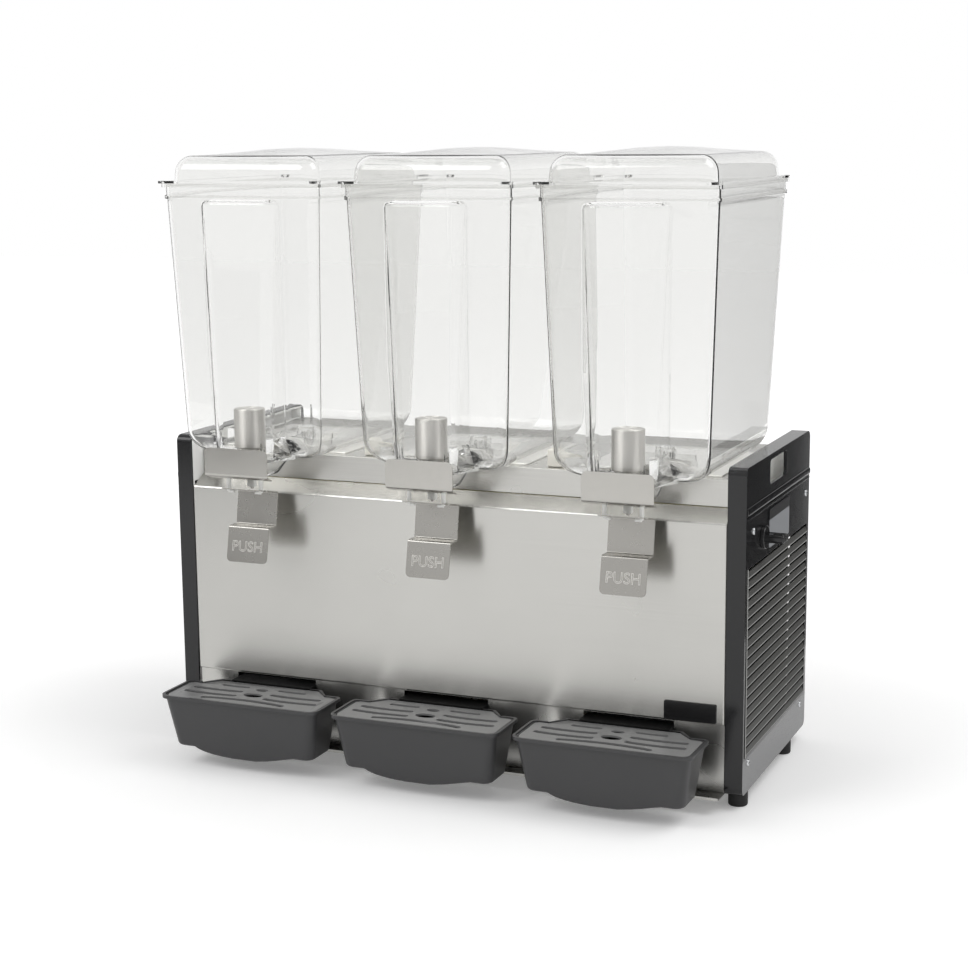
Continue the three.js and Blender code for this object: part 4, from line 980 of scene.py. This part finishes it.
def make_knob():
    """The thermostat knob: a skirt, and a grip parted into two rounded prongs."""
    knob = rod("knob", 12, (320.4, 65, 268), (324.3, 65, 268), 64)
    with editing(knob):
        pick("EDGE", lambda middle, along: middle.x > 324)
        round_edges(1.2, 3)
    web = block("web", (323, 56, 264.2), (331, 74, 271.8))
    prongs = [block("prong", (323, y - 3.8, 263.8), (344.2, y + 3.8, 272.2))
              for y in (59.2, 70.8)]
    for prong in prongs:
        with editing(prong):
            pick("EDGE", lambda middle, along: abs(along.x) > 0.9)
            round_edges(3.2, 4)
            pick("EDGE", lambda middle, along: middle.x > 344)
            round_edges(2.6, 4)
    join(knob, web, *prongs)
    return smooth(knob, 40)


def make_foot():
    """One foot: a rubber stub with a rounded sole."""
    foot = rod("foot", 10, (-310, 22, 0), (-310, 22, 14.7), 48)
    with editing(foot):
        pick("EDGE", lambda middle, along: middle.z < 0.5)
        round_edges(1.8, 3)
        pick("EDGE", lambda middle, along: middle.z > 14)
        round_edges(0.8, 2)
    return smooth(foot)


def dress_node(name, material, width=0.4):
    """A CAD node that keeps its shape: its loose faces welded, its edges eased, and its finish."""
    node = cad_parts[name]
    node.data.materials.clear()
    node.data.materials.append(material)
    weld = node.modifiers.new("Weld", "WELD")
    weld.merge_threshold = 0.00001
    if width:
        ease = node.modifiers.new("Bevel", "BEVEL")
        ease.width, ease.segments = width * MM, 2
        ease.limit_method, ease.angle_limit = "ANGLE", math.radians(50)
    return node


aim_camera()
light_studio()
lay_floor()
stand_flags()

# Case: the CAD nodes whose shape stays, then the pieces made here
for name, material, width in (
        ("base_pan", level_steel, 0.3), ("plinth_panel", front_steel, 0.2),
        ("rear_panel", front_steel, 0.2), ("deck_tray", level_steel, 0.4),
        ("insulated_core", foam_straw, 1.0), ("compressor", black_enamel, 0.8),
        ("condenser", aluminium_sheet, 0.3), ("fan_shroud", aluminium_sheet, 0.3),
        ("fan_motor", black_enamel, 0.8), ("condenser_fan", fan_nylon, 0.4),
        ("thermostat", black_enamel, 0.4), ("switch_housing", gloss_black, 0.5),
        ("power_rocker", gloss_black, 0.5), ("cord_inlet", rubber_black, 0.4),
        ("bowl_block_1", nylon_white, 1.2), ("bowl_block_2", nylon_white, 1.2)):
    dress_node(name, material, width)
for n in (1, 2, 3):
    dress_node(f"cold_plate_{n}", plate_steel, 0.8)
    dress_node(f"stirrer_motor_{n}", white_trim_and_painted_light, 0.8)
    dress_node(f"valve_seal_{n}", silicone_clear, 0.4)
    dress_node(f"stirrer_paddle_{n}", clear, 0.6)

front = folded_strip("front_sheet", -SHEET_HALF, SHEET_HALF, [
    (6.5, 87.9), (0.75, 87.9), (0.75, 292), (23.2, 302.9)], 1.6)
thicken(front, 1.5, 0)
with editing(front):
    pick("EDGE", lambda middle, along: abs(along.z) > 0.9 and abs(middle.x) > 300 and middle.y < 0.4)
    round_edges(1.3, 4)
soften(front, 0.3, 2, 60)
wear(front, front_steel, "cabinet")
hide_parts("front_panel")

for hand, node in ((1, "side_panel_right"), (-1, "side_panel_left")):
    side = make_side(hand)
    side.name = f"side_moulding_{'right' if hand > 0 else 'left'}"
    wear(side, gloss_black, "cabinet")
    # Painted reflection: the outer faces below 50 mm are made mid grey
    mark_faces(side, floor_reflection_grey, lambda middle, normal: abs(normal.x) > 0.95 and abs(middle.x) > 319.5
               and middle.z <= 50)
    # Painted light: the inner faces behind each hand hole are made near white
    mark_faces(side, white_trim_and_painted_light, lambda middle, normal: abs(middle.x) < 316.2 and 77 < middle.y < 254
               and 298.5 < middle.z < 344)
    # Painted highlight: the rib at the front of the louvre field is made light grey
    mark_faces(side, lip_painted_highlight, lambda middle, normal: 6 < middle.y < 9 and abs(middle.x) > 320.2
               and LOUVRE_LOW < middle.z < LOUVRE_HIGH)
    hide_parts(node)
    slats = make_slats(hand)
    slats.name = f"side_louvres_{'right' if hand > 0 else 'left'}"
    wear(slats, louvre_black, "cabinet")
    # Painted highlight: each blade's outer lip is made light grey
    mark_faces(slats, lip_painted_highlight, lambda middle, normal: abs(normal.x) > 0.93 and abs(middle.x) > 319.9)

# Pale blocks over the ends of the insulation: painted light, so that the hand holes show bright behind
# them
for hand in (1, -1):
    low, high = across(hand, 300.7, 302.7)
    painted_light_block = block(f"core_painted_light_{'right' if hand > 0 else 'left'}", (low, 30, 305), (high, 252, 331))
    soften(painted_light_block, 0.7, 3)
    wear(painted_light_block, white_trim_and_painted_light, "cabinet")

# A black sheet on the inside of the rear air slots: painted shade that keeps the slots dark
rear_slot_shade_sheet = block("rear_slot_shade_sheet", (-288, 255.9, 52), (-122, 259, 186))
soften(rear_slot_shade_sheet, 0.7, 3)
wear(rear_slot_shade_sheet, rubber_black, "cabinet")

screw = make_screw()
number = 0
for hand in (1, -1):
    for y, z in ((29, 281), (246, 281), (19.5, 45.8), (236, 45.5)):
        number += 1
        twin = copy_to(screw, f"side_screw_{number}", 319.6, y, z)
        if hand < 0:
            with editing(twin):
                pick_all()
                bpy.ops.transform.rotate(
                    value=math.pi, orient_axis="Z", center_override=spot(0, y, z))
        wear(twin, screw_chrome, "cabinet")
bpy.data.objects.remove(screw)

knob = make_knob()
knob.name = "knob_moulding"
wear(knob, gloss_black, "knob")
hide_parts("thermostat_knob")

foot = make_foot()
for i, (x, y) in enumerate(((0, 0), (620, 0), (0, 178), (620, 178))):
    twin = copy_to(foot, f"rubber_foot_{i + 1}", x, y, 0)
    wear(twin, rubber_black, "cabinet")
    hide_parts(f"foot_{i + 1}")
bpy.data.objects.remove(foot)

badge = block("bare_badge", (238.3, -1.8, 88.8), (292.7, -0.3, 108.3))
with editing(badge):
    pick("EDGE", lambda middle, along: abs(along.y) > 0.9)
    round_edges(1.6, 4)
    pick("EDGE", lambda middle, along: middle.y < -1.7)
    round_edges(0.4, 2)
smooth(badge)
wear(badge, badge_black, "cabinet")
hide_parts("badge_plate")

label = block("bare_label", (320.3, 87.5, 252), (320.9, 169.5, 292))
with editing(label):
    pick("EDGE", lambda middle, along: abs(along.x) > 0.9)
    round_edges(2.5, 4)
smooth(label)
label_film = plate_film("polyester_label_film", "#1c1c1d", "#85878a", spot(0, 0, 281).z)
wear(label, label_film, "cabinet")
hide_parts("rating_label")

# Bowls and what goes with each
bowl, lid, weight = make_bowl(), make_lid(), make_weight()
lever, word, guard = make_lever(), make_word(), make_guard()
tray, grille = make_tray(), make_grille()
for n, (bowl_x, tray_x) in enumerate(zip(BOWL_CENTRES, TRAY_CENTRES), 1):
    for piece, name, material, body, slot, node in (
            (bowl, "clear_bowl", clear, "bowl_unit", "clear_plastic", "bowl"),
            (guard, "guard_strip", strip_steel, "bowl_unit", "satin_steel", "guard_plate"),
            (lid, "clear_lid", clear, "lid_unit", "clear_plastic", "lid"),
            (weight, "turned_weight", weight_steel, "valve_unit", "satin_steel", "valve_weight"),
            (lever, "lever_strip", lever_steel, "lever_unit", "satin_steel", "push_lever"),
            (word, "lever_word", etched, "lever_unit", "satin_steel", None),
            (tray, "tray_moulding", tray_grey, "tray_unit", "grey_plastic", "drip_tray"),
            (grille, "grille_plate", grille_grey, "grille_unit", "grey_plastic", "drip_grille")):
        twin = copy_to(piece, f"{name}_{n}", tray_x if piece in (tray, grille) else bowl_x)
        wear(twin, material, f"{body}_{n}")
        twin.visible_shadow = material is not clear
        if piece is tray:
            # Painted shade: the tray's inner floor and walls, the tab bed and the tongue are made near
            # black
            mark_faces(twin, tray_painted_shade, lambda middle, normal: middle.y > -12 and middle.z > 78
                       or middle.y > -29 and 75.8 < middle.z < 77.1 and normal.z > 0.9
                       or middle.z < 45 and normal.z > 0.3
                       or middle.z < 75.5 and (normal.y > 0.5 and middle.y < -50
                                               or normal.y < -0.5 and middle.y > -45
                                               or normal.x * (middle.x - tray_x) < -20))
        if node:
            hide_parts(f"{node}_{n}")
        if piece is bowl:
            mark_faces(twin, frosted, lambda middle, normal: middle.z < 315)
for piece in (bowl, guard, lid, weight, lever, word, tray, grille):
    bpy.data.objects.remove(piece)

bpy.context.scene.view_settings.view_transform = "Standard"
# Light crosses up to six clear walls, each with two faces
light_paths = bpy.context.scene.cycles
light_paths.max_bounces = light_paths.transmission_bounces = MOST_BOUNCES
light_paths.transparent_max_bounces = 32
low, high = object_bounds()
